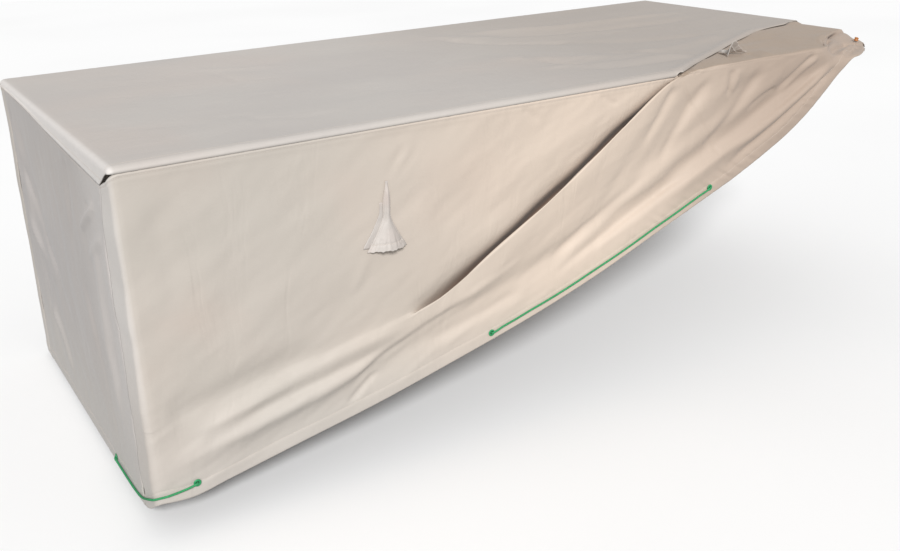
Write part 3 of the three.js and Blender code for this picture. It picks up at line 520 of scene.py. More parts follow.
def set_uv(piece, lengths_at):
    """Lays the cloth's own lengths on a piece, from the numbers of its points at the corners."""
    layer = piece.data.uv_layers.new(name="cloth")
    corner = np.empty(len(piece.data.loops), np.int64)
    piece.data.loops.foreach_get("vertex_index", corner)
    layer.data.foreach_set("uv", lengths_at(corner).astype(np.float32).ravel())


def sheet_mesh(name, grid, outward, keep=None, uv=None):
    """A mesh object from a grid of points, columns by rows. Squares are made where all four
    corners are kept, and turned so that the first of them faces the outward way."""
    columns, rows = grid.shape[:2]
    keep = np.ones((columns, rows), bool) if keep is None else keep
    index = np.cumsum(keep.ravel()).reshape(columns, rows) - 1
    here, next_on = slice(-1), slice(1, None)
    corners = (here, here), (next_on, here), (next_on, next_on), (here, next_on)
    whole = np.all([keep[corner] for corner in corners], axis=0)
    quads = np.stack([index[corner][whole] for corner in corners], axis=1)
    points = grid[keep]
    across = points[quads[:, 2]] - points[quads[:, 0]]
    along = points[quads[:, 3]] - points[quads[:, 1]]
    if np.cross(across, along).sum(axis=0) @ np.array(outward, float) < 0:
        quads = quads[:, ::-1]
    if uv is None:
        uv = np.stack([arc_lengths(grid, 0).mean(axis=1, keepdims=True) + 0 * grid[..., 0],
                       arc_lengths(grid, 1)], axis=-1)
    piece = new_piece(name, points, quads.tolist())
    set_uv(piece, lambda corner: uv[keep][corner])
    piece.data.shade_smooth()
    return piece


def read_points(piece):
    """The places and the outward directions of a piece's points."""
    both = np.empty((2, 3 * len(piece.data.vertices)))
    piece.data.vertices.foreach_get("co", both[0])
    piece.data.vertices.foreach_get("normal", both[1])
    return both.reshape(2, -1, 3)


def on_grid(piece, shape, keep=None):
    """The places and outward directions of a piece's points, side by side, back on its grid."""
    both = np.full((*shape, 6), np.nan)
    both[np.ones(shape, bool) if keep is None else keep] = np.concatenate(read_points(piece), axis=1)
    return both


def push_out(piece, amount):
    """Moves each point along its own outward direction."""
    points, normals = read_points(piece)
    piece.data.vertices.foreach_set("co", (points + normals * np.ravel(amount)[:, None]).ravel())
    piece.data.update()


def weld(piece, distance=0.00005):
    """Joins points that lie on each other, where lines of a grid run together."""
    shape = bmesh.new()
    shape.from_mesh(piece.data)
    bmesh.ops.remove_doubles(shape, verts=shape.verts, dist=distance)
    bmesh.ops.dissolve_degenerate(shape, edges=shape.edges, dist=distance / 5)
    shape.to_mesh(piece.data)
    shape.free()
    piece.data.shade_smooth()


def thicken(piece, thickness):
    """Gives a sheet its thickness, on its inner side."""
    wall = piece.modifiers.new("thickness", "SOLIDIFY")
    wall.thickness = thickness
    wall.offset = -1
    wall.use_even_offset = False


def finish_piece(piece, slot, material, *nodes):
    """Gives a piece its material, and lets it ride and stand for its nodes. The slot is not used."""
    piece.data.materials.append(material)
    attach(piece, "root")
    if nodes:
        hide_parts(*nodes)
    return piece


def lowered(grid):
    """A grid whose heights are counted from the ground, moved to the frame's own origin."""
    moved = np.array(grid, float)
    moved[..., 2] -= LOWERED
    return moved


# The cover's lines, and how far from the seams and ends its soft folds fade

TOP_FADE = 0.060
SEAM_FADE = 0.050
LEFT_FADE = 0.090
RIGHT_FADE = 0.060
LEVEL_FROM = 0.925
LEVEL_SPREAD = 0.050


def flare_at(z):
    """How far the ends lean out at a height."""
    return END_FLARE * ease((HEIGHT - z) / HEIGHT)


def front_line(z):
    """Y of the plain front at a height."""
    return FRONT - FRONT_FLARE * ease((HEIGHT - z) / HEIGHT)


def top_height(x, y):
    """Height of the top before its edges turn down: it sags as 1 - x squared times 1 - y squared,
    with soft folds that fade towards the edges."""
    sag = TOP_SAG * (1 - (x / RIGHT) ** 2) * np.maximum(0, 1 - (y / BACK) ** 2)
    fade = ease(np.minimum(RIGHT - np.abs(x), BACK - np.abs(y)) / TOP_FADE)
    return HEIGHT - sag + fade * relief(TOP_FOLDS, x, y)


def front_relief(x, z):
    """How far the front's soft folds stand out, fading towards the top seam and both ends."""
    fade = ease((HEIGHT - z) / SEAM_FADE) * ease((x - LEFT) / LEFT_FADE) * ease((RIGHT - x) / RIGHT_FADE)
    return fade * relief(FRONT_FOLDS, x, z)


def level_at(x):
    """1 near the right end, where the flap's fold comes level with the top."""
    return ease((x - LEVEL_FROM) / LEVEL_SPREAD)


def round_corner(along, z):
    """Plan place and outward direction round the front left corner. Below 0 it goes back along
    the left end, past the quarter circle it goes on along the front."""
    arc = EDGE * math.pi / 2
    angle = np.clip(along / EDGE, 0, math.pi / 2)
    flare = flare_at(z)
    lean = front_line(z) - FRONT
    x = LEFT + EDGE - (EDGE + flare) * np.cos(angle) + np.maximum(0, along - arc)
    y = FRONT + EDGE - EDGE * np.sin(angle) + lean * np.sin(angle) - np.minimum(0, along)
    return x, y, -np.cos(angle), -np.sin(angle)


def front_top_seam(along):
    """Height of the front's top seam round the left corner. A narrow slit is left open there."""
    seam_top = HEIGHT - EDGE - SEAM_GAP
    arc = EDGE * math.pi / 2
    wrap = UPRIGHT_SEAM["y"][-1] - (FRONT + EDGE)
    share = np.clip((arc - along) / (arc + wrap), 0, 1)
    lowest = HEIGHT - LEFT_DROP["drop"][0] - SEAM_GAP
    return mix(seam_top, lowest, share) - SLIT * np.sin(math.pi * share) ** 2


# Front panel

UNDER_SEAM = 0.002
NEAR_SEAM = np.array([-UNDER_SEAM, 0.0004, 0.0014, 0.0027, 0.0041, 0.0055, 0.0085, 0.014])
SEAM_ROW = 5
FACE_ROWS = 52
STEP_ROWS = 16
BEYOND_RIDGE = np.array([0.0015, 0.0035, 0.006, 0.010, 0.016, 0.023])
FLAP_ROWS = 44
FROM_HEM = np.array([HEM_BAND + 0.0015, HEM_BAND, HEM_BAND - 0.0015, 0.021, 0.015, 0.009, 0.005,
                     0.0022, 0.0008, 0])
TURN_ANGLES = np.radians([14, 28, 42, 56, 70, 82])
WRAP_COLUMNS = 16
CORNER_COLUMNS = 5
LEFT_COLUMNS = 205
RIGHT_COLUMNS = 120
RIM_ANGLES = np.radians([30, 60, 90])
TOP_TURNS = np.radians([90, 72, 54, 36, 18])


def fold_rows(depth, over):
    """Places across the pleat: its valley's, below 0 before the fold line, its edge's and the edge's
    radius, and how far it is folded. Where it is less than a few millimetres deep, they lie side by
    side, unfolded."""
    firm = ease((depth - FOLDED_FROM) / FOLDED_SPREAD)
    valley = mix(OPEN_VALLEY, PLEAT_UNDER * depth, firm)
    nose = mix(OPEN_NOSE, np.minimum(NOSE, NOSE_SHARE * depth), firm)
    return valley, mix(0, -over, firm), nose, firm


def below_ridge(x0, z0, x1, z1, depth, over, out_at):
    """Rows from the pleat's valley over its fold down to the hem. The valley lies under the flap, by
    a share of its depth. From there the wall goes straight out and back to the fold's edge, which
    is a quarter circle, and past the fold the cloth falls back as exp(-(distance / spread) squared)."""
    span = np.hypot(x1 - x0, z1 - z0)[:, None]
    depth = depth[:, None]
    ridge = RIDGE_SHARE * depth
    valley, edge, nose, firm = fold_rows(depth, over[:, None])
    height = np.minimum(nose, NOSE_SHARE * depth)
    t = np.linspace(0, 1, STEP_ROWS - 6)[None, 1:-1]
    angle = np.linspace(0, math.pi / 2, 8)[None, :]
    wall_away = mix(valley, edge, t)
    wall_out = mix(-depth, ridge - height, t)
    rolled = mix(angle / (math.pi / 2), 1 - np.cos(angle), firm)
    wall_away = beside(wall_away, nose * rolled + edge)
    wall_out = beside(wall_out, ridge - height * (1 - np.sin(angle)))
    near = nose + edge + BEYOND_RIDGE[None, :]
    hem = span - FROM_HEM[None, :]
    shares = np.linspace(0, 1, FLAP_ROWS + 2)[1:-1][None, :]
    flap = mix(near[:, -1:], hem[:, :1], shares)
    beyond = beside(near, flap, hem)
    beyond_out = ridge * bell(beyond - edge, RIDGE_SPREAD)
    away = beside(wall_away, beyond)
    out = beside(wall_out, beyond_out)
    x = mix(x0[:, None], x1[:, None], away / span)
    z = mix(z0[:, None], z1[:, None], away / span)
    settle = ease((away - edge) / RIDGE_SETTLE)
    settle[:, :STEP_ROWS] = 0
    return x, z, out + settle * out_at(x, z)


def face_heights(top, bottom):
    """Heights of the left face's rows: close together below the top seam, then even shares that
    draw together towards the valley."""
    length = (top - bottom)[:, None]
    near = NEAR_SEAM[None, :] * np.minimum(1, length / 0.050)
    shares = (1 - (1 - np.linspace(0, 1, FACE_ROWS + 1)[1:]) ** 1.25)[None, :]
    return top[:, None] - beside(near, mix(near[:, -1:], length, shares))


def corner_columns():
    """Columns of the front panel from the upright seam on the left end round the corner."""
    arc = EDGE * math.pi / 2
    wraps = np.linspace(0, 1, WRAP_COLUMNS + 1)[:-1]
    rounds = np.linspace(0, arc, CORNER_COLUMNS + 1)[:-1]
    on_end = np.append(1 - wraps, np.zeros(len(rounds)))[:, None]
    on_arc = np.append(np.zeros(len(wraps)), rounds)[:, None]

    def along(z):
        """Place along the plan line of each column at heights z, below 0 on the left end."""
        reach = read(UPRIGHT_SEAM, "z", "y", z) - SEAM_GAP - (FRONT + EDGE)
        return on_arc - reach * on_end

    count = len(on_arc)
    level = np.full((count, 1), PLEAT["z"][0])
    top = front_top_seam(along(np.full((count, 1), HEIGHT - LEFT_DROP["drop"][0])))[:, 0]
    _, fold_y, _, _ = round_corner(along(level), HEIGHT + 0 * level)
    hem_z = read(LEFT_HEM, "y", "z", fold_y[:, 0])
    x0 = np.full(count, LEFT)
    depth, over = (np.full(count, PLEAT[name][0]) for name in ("depth", "over"))
    face_z = face_heights(top, level[:, 0] - fold_rows(depth, over)[0])
    _, flap_z, flap_out = below_ridge(x0, level[:, 0], x0, hem_z, depth, over, lambda x, z: 0 * x)
    z = beside(face_z, flap_z)
    out = beside(0 * face_z, flap_out)
    x, y, away_x, away_y = round_corner(along(z), z)
    return places_at(x + away_x * out, y + away_y * out, z)


def left_columns():
    """Columns of the front panel from the left corner to the pleat's top end."""
    at = section_at(LEFT_SECTIONS, np.linspace(0, len(LEFT_SECTIONS["hem_x"]) - 1, LEFT_COLUMNS))
    x0 = at["fold_x"]
    x1 = at["hem_x"]
    z0 = read(PLEAT, "x", "z", x0)
    depth, slope, over = (read(PLEAT, "x", name, x0) for name in ("depth", "slope", "over"))
    hem_z = read(FRONT_HEM, "x", "z", x1)
    under = fold_rows(depth, over)[0]
    face_z = face_heights(np.full(LEFT_COLUMNS, HEIGHT - EDGE - SEAM_GAP), z0 - under)
    above = face_z - z0[:, None]
    sunk = np.maximum(0, -above) / np.hypot(x1 - x0, hem_z - z0)[:, None]
    away = np.where(above > 0, PLEAT_SLANT * above, above)
    past_valley = np.maximum(away + under[:, None], 0) / slope[:, None]
    sink = depth[:, None] * np.exp(-(past_valley ** PLEAT_SHARPNESS))
    face_x = mix(x0[:, None], x1[:, None], sunk)
    face_z = np.where(above > 0, face_z, mix(z0[:, None], hem_z[:, None], sunk))
    face_out = front_relief(face_x, face_z) * ease(away / RIDGE_SETTLE) - sink
    x, z, out = below_ridge(x0, z0, x1, hem_z, depth, over, front_relief)
    x, z, out = beside(face_x, x), beside(face_z, z), beside(face_out, out)
    return places_at(x, front_line(z) - out, z)


def right_columns():
    """Columns to the right of the pleat's top end: out from under the top, over it to the crest,
    round the edge and down to the hem. Nearer the right end the cloth past the crest lies one
    step lower instead of hanging."""
    places = np.linspace(0, len(RIGHT_SECTIONS["hem_x"]) - 1, RIGHT_COLUMNS + 1)[1:]
    at = section_at(RIGHT_SECTIONS, places)
    at = {name: values[:, None] for name, values in at.items()}
    stepped = ease((at["crest_x"] - STEP_FROM) / STEP_SPREAD)

    share = np.linspace(0, 1, STEP_ROWS)[None, :]
    x = mix(at["fold_x"], at["crest_x"], share)
    y = mix(at["fold_y"], at["crest_y"], share)
    fold_z = HEIGHT - mix(TUCK, UNDER_CLOTH, level_at(at["fold_x"]))
    rest = np.minimum(at["crest_z"], top_height(x, y) - 0.001)
    out = np.hypot(at["crest_x"] - at["fold_x"], at["crest_y"] - at["fold_y"]) * share
    lying = mix(fold_z, rest, ease(out / (2 * LIP)))
    over_top = places_at(x, y, mix(lying, at["crest_z"], ease(share) ** 2))

    reach = np.hypot(at["hem_x"] - at["crest_x"], at["hem_y"] - at["crest_y"])
    to_hem_x = (at["hem_x"] - at["crest_x"]) / reach
    to_hem_y = (at["hem_y"] - at["crest_y"]) / reach
    run = np.sin(TURN_ANGLES)[None, :]
    fall = 1 - np.cos(TURN_ANGLES)[None, :]
    over_edge = places_at(
        at["crest_x"] + to_hem_x * CREST_OVERHANG * run,
        np.maximum(FRONT - CREST_OVERHANG, at["crest_y"] - CREST_RADIUS * run),
        at["crest_z"] - CREST_RADIUS * fall,
    )
    slit = bell(at["crest_x"] - SLIT_MIDDLE, SLIT_REACH)
    step_run = STEP_RUN * mix(run, SLIT_OVER * np.sin(2 * TURN_ANGLES)[None, :] - SLIT_BACK * fall, slit)
    over_step = places_at(
        at["crest_x"] + to_hem_x * step_run,
        at["crest_y"] + to_hem_y * step_run,
        at["crest_z"] - STEP_FALL * fall * mix(1, SLIT_FALL, slit),
    )
    turn = mix(over_edge, over_step, stepped[..., None])

    start = turn[:, -1:]
    hem = places_at(at["hem_x"], at["hem_y"], at["hem_z"])
    length = np.linalg.norm(hem - start, axis=-1)
    from_hem = 1 - FROM_HEM[None, :] / length
    even = np.linspace(0, 1, FLAP_ROWS + 2)[1:-1][None, :] * from_hem[:, :1]
    share = beside(even, from_hem)
    x = mix(start[..., 0], at["hem_x"], share)
    z = mix(start[..., 2], at["hem_z"], share)
    hanging = mix(start[..., 1], at["hem_y"], ease(share))
    flat = mix(start[..., 1], at["hem_y"], share)
    fade = (1 - stepped) * ease(share * (at["crest_z"] - at["hem_z"]) / 0.060)
    lumps = stepped * TIP_LUMP * np.sin(share * TIP_LUMPS) * (1 - share)
    hang = places_at(x, mix(hanging, flat, stepped) - fade * front_relief(x, z), z + lumps)
    return beside(over_top, turn, hang)


def front_panel():
    """The whole front panel, with its finer creases, seam edges and gathered hem."""
    corner = corner_columns()
    left = left_columns()
    right = right_columns()
    face = len(NEAR_SEAM) + FACE_ROWS
    right = beside(np.repeat(right[:, :1], face, axis=1), right)
    reach = RIGHT - RIGHT_SECTIONS["fold_x"][-1]
    rim = [right[-1] + np.array([reach * math.sin(angle), 0, -EDGE * (1 - math.cos(angle))])
           for angle in RIM_ANGLES]
    grid = np.concatenate([corner, left, right, np.array(rim)], axis=0)
    keep = np.ones(grid.shape[:2], bool)
    first_right = len(corner) + len(left)
    keep[first_right:, :face] = False

    down = arc_lengths(grid[:, face + STEP_ROWS:], 1)
    from_hem = np.full(grid.shape[:2], 1.0)
    from_hem[:, face + STEP_ROWS:] = down[:, -1:] - down
    from_seam = np.full(grid.shape[:2], 1.0)
    from_seam[:first_right, :face] = arc_lengths(grid[:first_right, :face], 1) - UNDER_SEAM
    above = arc_lengths(grid[:, :face], 1)
    uv_down = beside(above - above[:, -1:], arc_lengths(grid[:, face:], 1))
    along = along_row(grid, -1)
    piece = sheet_mesh("front_cloth", lowered(grid), (0, -1, 0), keep, np.stack([along, uv_down], axis=-1))

    x, y, z = grid[keep].T
    from_hem, from_seam, along, along_top = (
        values[keep] for values in (from_hem, from_seam, along, along_row(grid, face - 1)))
    _, normals = read_points(piece)
    upward = ease((normals[:, 2] - 0.35) / 0.4) * ease((x - 0.22) / 0.04)
    onward = ease((x - LEFT - 0.02) / 0.05)
    hang = (1 - upward) * onward * relief(FRONT_CREASES, x, z, True)
    lying = upward * relief(FLAP_TOP_CREASES, x, y, True)
    waves = front_waves(x, z + ease((z - HEIGHT + EDGE) / 0.010) * y)
    quiet = ease(from_hem / 0.030) * ease(from_seam / 0.020)
    gathers = hem_relief(from_hem, along, 11, 0.0009 + 0.0016 * ease((x + 0.15) / 0.6))
    seam = seam_relief(from_seam, along_top, 17, 0.0007)
    push_out(piece, hang + lying + quiet * waves + gathers + seam)
    return piece, grid, keep, face, first_right


HEM_PROUD = 0.0005
HEM_GROOVE = 0.0005
HEM_ROUND = 0.0012
SEAM_TURN = 0.0023
ALLOWANCE = 0.0009
ALLOWANCE_WIDTH = 0.012
SEAM_GROOVE = 0.0007


def hem_relief(distance, along, seed, depth):
    """A folded hem: a little proud from its stitch line to a rounded edge, with a groove along the
    stitching, and gathers across the band that run out above it."""
    band = HEM_PROUD * ease((HEM_BAND + 0.001 - distance) / 0.002)
    groove = -HEM_GROOVE * bell(distance - HEM_BAND, 0.0016)
    edge = -HEM_ROUND * bell(distance, HEM_ROUND)
    slanted = along + 0.6 * distance
    strength = bell(distance - HEM_BAND, 0.020)
    return band + groove + edge + depth * strength * pucker(slanted, seed)


def seam_relief(distance, along, seed, depth):
    """A sewn edge: past the seam, below 0, the cloth goes in behind its neighbour's edge. Before it
    the cloth stands proud over the allowance and is drawn in by puckers at the stitching."""
    turn = -SEAM_TURN * ease((0.0001 - distance) / 0.0014)
    allowance = ALLOWANCE * ease(distance / 0.002) * ease((ALLOWANCE_WIDTH - distance) / 0.004)
    groove = -SEAM_GROOVE * bell(distance - NEAR_SEAM[SEAM_ROW], 0.0011)
    strength = bell(distance - ALLOWANCE_WIDTH / 2, ALLOWANCE_WIDTH)
    return turn + allowance + groove + depth * strength * pucker(along, seed, 0.026)


CLOSE_ROWS = np.array([0, 0.002, 0.004, 0.0055, 0.0075, 0.011, 0.016, 0.022, 0.030, 0.040])
TOP_ROWS = 77
LIP_SET_BACK = 0.005
BACK_COLUMNS = 170
BACK_ROWS = 58


def top_front(x):
    """Front boundary of the top: the front edge, then slanting back along the fold, where its
    rolled lip lies over the flap but for the last stretch at the right end."""
    fold = read({"x": RIGHT_SECTIONS["fold_x"], "y": RIGHT_SECTIONS["fold_y"]}, "x", "y", x)
    slanted = fold - mix(LIP, 0.002, level_at(x + 0.010))
    return np.where(x <= RIGHT_SECTIONS["fold_x"][0], FRONT, slanted)


def top_rows(inner_x):
    """Rows of the top at places along it: their flat Y, how far each has turned down over the front
    (below 0) or the back (above 0) as the sine of the angle, and the share of the slanted fold."""
    bend = RIGHT_SECTIONS["fold_x"][0]
    slant = ease((inner_x - bend + 0.010) / 0.020)
    y_front = top_front(inner_x)
    flat = y_front + mix(EDGE, 0, slant)
    sines = np.sin(TOP_TURNS)[None, :]
    near = flat + LIP_SET_BACK * slant + CLOSE_ROWS[None, :]
    shares = np.linspace(0, 1, TOP_ROWS + 1)[None, 1:]
    middle = beside(near, mix(near[:, -1:], BACK - EDGE, shares))
    curl = LIP_SET_BACK * (1 - sines) * slant
    front_y = mix(flat, y_front + curl, slant)
    y = beside(front_y, middle, BACK - EDGE + 0 * (sines + inner_x))
    turned_down = beside(-sines * (1 - slant), 0 * middle, sines[:, ::-1] + 0 * inner_x)
    return y, turned_down, slant, flat


def top_panel():
    """The top with its short drop over the left end, its edges and corners rounded down and the
    lip rolled over the flap. A corner takes the square of both turns onto a quarter of a ball."""
    bend = RIGHT_SECTIONS["fold_x"][0]
    sines = np.sin(TOP_TURNS)
    inner = np.concatenate([
        np.linspace(LEFT + EDGE, bend - 0.012, 118),
        np.linspace(bend - 0.008, bend + 0.014, 8),
        np.linspace(bend + 0.020, RIGHT - EDGE, 84),
    ])
    first = len(sines)
    inner_x = np.insert(np.repeat([LEFT + EDGE, RIGHT - EDGE], first), first, inner)[:, None]
    u = np.concatenate([-sines, 0 * inner, sines[::-1]])[:, None]
    flat_y, v, slant, flat = top_rows(inner_x)
    x = inner_x + EDGE * u * np.sqrt(1 - v * v / 2)
    y = flat_y + EDGE * v * np.sqrt(1 - u * u / 2)
    radius = np.minimum(1, u * u + v * v - u * u * v * v)
    fall = EDGE * (1 - np.sqrt(1 - radius))
    from_edge = np.maximum(0, flat_y - flat)
    roll = LIP_RISE * slant * bell(from_edge - LIP, 1.2 * LIP)
    roll *= ease((0.87 - inner_x) / 0.12)
    curl = np.ones_like(flat_y)
    curl[:, :first] = np.sqrt(1 - sines ** 2)[None, :]
    lowest = HEIGHT - TUCK / 2 - 0.0002
    lipped = slant * (1 - level_at(inner_x)) * (1 - curl)
    z = mix(top_height(inner_x, flat_y) + roll * mix(1, curl, slant) - fall, lowest, lipped)
    grid = places_at(x, y, z)

    levels = np.linspace(1, 0, DROP_COLUMNS + 1)[:-1, None]
    count = grid.shape[1]
    share = ((flat_y[0] - flat_y[0, first]) / (flat_y[0, -1] - flat_y[0, first]))[None, :]
    drop_y = mix(mix(FRONT + EDGE, UPRIGHT_SEAM["y"][-1], levels), BACK - EDGE, share)
    drop_z = HEIGHT - mix(EDGE, read(LEFT_DROP, "y", "drop", drop_y), levels)
    drop = places_at(LEFT - flare_at(drop_z) - DROP_LEAN * levels, drop_y, drop_z)
    keep = np.ones((len(levels) + len(grid), count), bool)
    keep[: len(levels), :first] = False
    keep[: len(levels), count - first:] = False
    grid = np.concatenate([drop, grid], axis=0)

    piece = sheet_mesh("top_cloth", lowered(grid), (0, 0, 1), keep)
    x, y, z = grid[keep].T
    down = arc_lengths(grid, 1)
    from_front = np.where(grid[..., 0] < bend - 0.01, down, 1.0)[keep]
    from_back = (down[:, -1:] - down)[keep]
    inside = ease((RIGHT - np.abs(x)) / 0.040) * ease((BACK - np.abs(y)) / 0.040)
    amount = inside * relief(TOP_CREASES, x, y, True)
    amount += inside * uneven(x, y, 0.0010, 0.3, (23, 0.170, 1.8), (29, 0.040, 2.0))
    on_top = ease((z - HEIGHT + 0.030) / 0.015)
    amount += on_top * seam_relief(from_front, x, 31, 0.0006)
    amount += on_top * seam_relief(from_back, x, 37, 0.0006)
    amount += seam_relief(arc_lengths(grid, 0)[keep], y, 41, 0.0007)
    push_out(piece, amount)
    return piece, grid.shape[:2], keep


def back_panel():
    """The back, wrapped round both back corners, where it hangs from the top's seam."""
    top = HEIGHT - LEFT_DROP["drop"][-1] - SEAM_GAP
    wraps = np.linspace(0, 1, 8)[:-1]
    rounds = np.radians(np.linspace(0, 90, 7))[:-1]
    straight = np.linspace(RIGHT - EDGE, LEFT + EDGE, BACK_COLUMNS)
    side = len(wraps) + len(rounds)
    angle = np.concatenate([0 * wraps, rounds, np.full(len(straight), math.pi / 2),
                            math.pi - rounds[::-1], 0 * wraps + math.pi])
    centre_x = np.concatenate([np.full(side, RIGHT - EDGE), straight, np.full(side, LEFT + EDGE)])
    wrap_y = mix(BACK - BACK_WRAP, BACK - EDGE, wraps)
    centre_y = np.full(len(angle), BACK - EDGE)
    centre_y[: len(wraps)] = wrap_y
    centre_y[-len(wraps):] = wrap_y[::-1]
    x = centre_x + EDGE * np.where(np.arange(len(angle)) < side, 1, -1) * np.abs(np.cos(angle))
    y = centre_y + EDGE * np.sin(angle)
    hem = np.where(np.arange(len(angle)) < len(wraps), read(RIGHT_HEM, "y", "z", y),
                   read(BACK_HEM, "x", "z", x))
    length = (top - hem)[:, None]
    down = hanging_rows(length, BACK_ROWS)
    z = top - down
    fade = ease((RIGHT - np.abs(x[:, None])) / 0.080) * ease(down / length / 0.12)
    out = flare_at(z) + fade * relief(BACK_FOLDS, x[:, None], z)
    grid = places_at(x[:, None] + np.cos(angle)[:, None] * out, y[:, None] + np.sin(angle)[:, None] * out, z)
    piece = sheet_mesh("back_cloth", lowered(grid), (0, 1, 0))
    along = along_row(grid, -1)
    inside = ease(down / 0.030) * ease((length - down) / 0.030)
    amount = inside * uneven(grid[..., 0], z, 0.0014, 1.2, (43, 0.150, 2.0), (47, 0.035, 2.0))
    amount += hem_relief(length - down, along, 53, 0.0013)
    amount += seam_relief(down + 0 * along, along, 59, 0.0007)
    push_out(piece, amount)
    return piece, grid.shape[:2]


def hanging_rows(length, count):
    """Distances below the top seam of the rows of a hanging panel: close together at the seam and
    at the hem, even between them, and drawn together where the panel is short."""
    scale = np.minimum(1, length / 0.080)
    near = NEAR_SEAM[None, :] * scale
    low = length - FROM_HEM[None, :] * scale
    shares = np.linspace(0, 1, count)[None, 1:-1]
    return beside(near, mix(near[:, -1:], low[:, :1], shares), low)


def end_panel(name, way, front_at, top_at, hem_at, folds, creases, seed, count, rows, sewn_front):
    """An end panel: columns from the back seam to its front edge, rows from the top seam to the
    hem. Front_at gives the front edge at a height, top_at and hem_at the height at a place."""
    under = UNDER_SEAM / (BACK - BACK_WRAP - FRONT)
    t = np.concatenate([[-under], np.linspace(0, 1, count), [1 + under] if sewn_front else []])[:, None]
    back_y = BACK - BACK_WRAP - SEAM_GAP
    top_y = mix(back_y, front_at(np.array([[HEIGHT]])), t)
    top_z = top_at(top_y)
    length = top_z - np.minimum(top_z - 0.010, hem_at(top_y))
    down = hanging_rows(length, rows)
    share = down / length
    y = mix(back_y, front_at(mix(top_z, hem_at(top_y), share)), t)
    z = mix(top_z, np.minimum(top_z - 0.010, hem_at(y)), share)
    side = ease(t / 0.20) * (ease((1 - t) / 0.20) if sewn_front else 1)
    fade = ease(share / 0.14) * side
    grid = places_at(way * (RIGHT + flare_at(z) + fade * relief(folds, y, z)), y, z)
    piece = sheet_mesh(name, lowered(grid), (way, 0, 0))
    along = along_row(grid, -1)
    from_top = arc_lengths(grid, 1) - UNDER_SEAM
    from_hem = from_top[:, -1:] - from_top
    from_back = arc_lengths(grid, 0) - UNDER_SEAM
    from_front = from_back[-1:] - from_back - UNDER_SEAM
    inside = ease(from_top / 0.030) * ease(from_hem / 0.030)
    amount = inside * uneven(y, z, 0.0012, 1.35, (seed, 0.110, 2.4), (seed + 1, 0.032, 2.4))
    near = ease(share / 0.05) * ease(t / 0.05) * (ease((1 - t) / 0.05) if sewn_front else 1)
    amount += near * relief(creases, y, z, True)
    amount += hem_relief(from_hem, along, seed + 2, 0.0012)
    amount += seam_relief(from_top, along, seed + 3, 0.0008)
    amount += seam_relief(from_back, z, seed + 4, 0.0007)
    if sewn_front:
        amount += seam_relief(from_front, z, seed + 5, 0.0009)
    push_out(piece, amount)
    return piece, grid.shape[:2]


def left_end_panel():
    """The left end, sewn to the front panel's wrap along the upright seam."""
    return end_panel(
        "left_end_cloth", -1,
        lambda z: read(UPRIGHT_SEAM, "z", "y", z) + SEAM_GAP,
        lambda y: HEIGHT - read(LEFT_DROP, "y", "drop", y) - 2 * SEAM_GAP,
        lambda y: read(LEFT_HEM, "y", "z", y),
        LEFT_END_FOLDS, LEFT_END_CREASES, seed=61, count=116, rows=76, sewn_front=True)


def right_end_panel():
    """The right end, whose hem runs up to the lifted corner."""
    return end_panel(
        "right_end_cloth", 1,
        lambda z: RIGHT_HEM["y"][0] + 0 * z,
        lambda y: read(RIGHT_EDGE, "y", "z", y) - EDGE - 2 * SEAM_GAP,
        lambda y: read(RIGHT_HEM, "y", "z", y),
        RIGHT_END_FOLDS, [], seed=71, count=96, rows=44, sewn_front=False)


def resampled(line):
    """Places every pitch of the stitches along a line of points with outward directions, the
    directions there and the way it runs."""
    lengths = line_lengths(line[:, :3])
    at = np.arange(STITCH_PITCH / 2, lengths[-1], STITCH_PITCH)
    here, ahead, behind = (
        np.stack([np.interp(at + shift, lengths, line[:, n]) for n in range(6)], axis=1)
        for shift in (0, STITCH_PITCH / 4, -STITCH_PITCH / 4)
    )
    return here[:, :3], unit(here[:, 3:]), unit(ahead[:, :3] - behind[:, :3])


def unit(vectors):
    """Vectors of length 1."""
    return vectors / np.maximum(np.linalg.norm(vectors, axis=-1, keepdims=True), 1e-12)


# Stitches

STITCH_PITCH = 0.0046
STITCH_LENGTH = 0.0034
STITCH_RADIUS = 0.00042
STITCH_SIDES = 6
TOP_SEAM_ROW = 8
TOP_STITCHES_END = 0.225
DROP_COLUMNS = 9
DROP_STITCHES = 4


def stitch_rows(name, lines):
    """Rows of stitches as one mesh. Each stitch is a spindle of three rings of six points between
    two ends, half sunk in the cloth: at share s of its length its radius is the ring's own."""
    ring = np.arange(STITCH_SIDES)
    after = (ring + 1) % STITCH_SIDES
    shape = [(-0.5, 0.0, 0.0)]
    for share, radius in ((-0.36, 0.8), (0.0, 1.0), (0.36, 0.8)):
        shape += [(share, radius * math.cos(a), radius * math.sin(a)) for a in ring * math.pi / 3]
    shape = np.array(shape + [(0.5, 0.0, 0.0)])
    start = np.stack([0 * ring, 1 + after, 1 + ring], axis=1)
    end = np.stack([19 + 0 * ring, 13 + ring, 13 + after], axis=1)
    walls = [np.stack([b + ring, b + after, b + 6 + after, b + 6 + ring], axis=1) for b in (1, 7)]
    places, ways, runs = (np.concatenate(part) for part in zip(*map(resampled, lines)))
    across = unit(np.cross(runs, ways))
    points = (
        places[:, None]
        + STITCH_LENGTH * shape[None, :, :1] * runs[:, None]
        + STITCH_RADIUS * shape[None, :, 1:2] * across[:, None]
        + STITCH_RADIUS * (shape[None, :, 2:] + 0.25) * ways[:, None]
    )
    base = (len(shape) * np.arange(len(places)))[:, None, None]
    tris = (np.concatenate([start, end])[None] + base).reshape(-1, 3)
    quads = (np.concatenate(walls)[None] + base).reshape(-1, 4)
    return solid_mesh(name, points.reshape(-1, 3), tris.tolist() + quads.tolist())


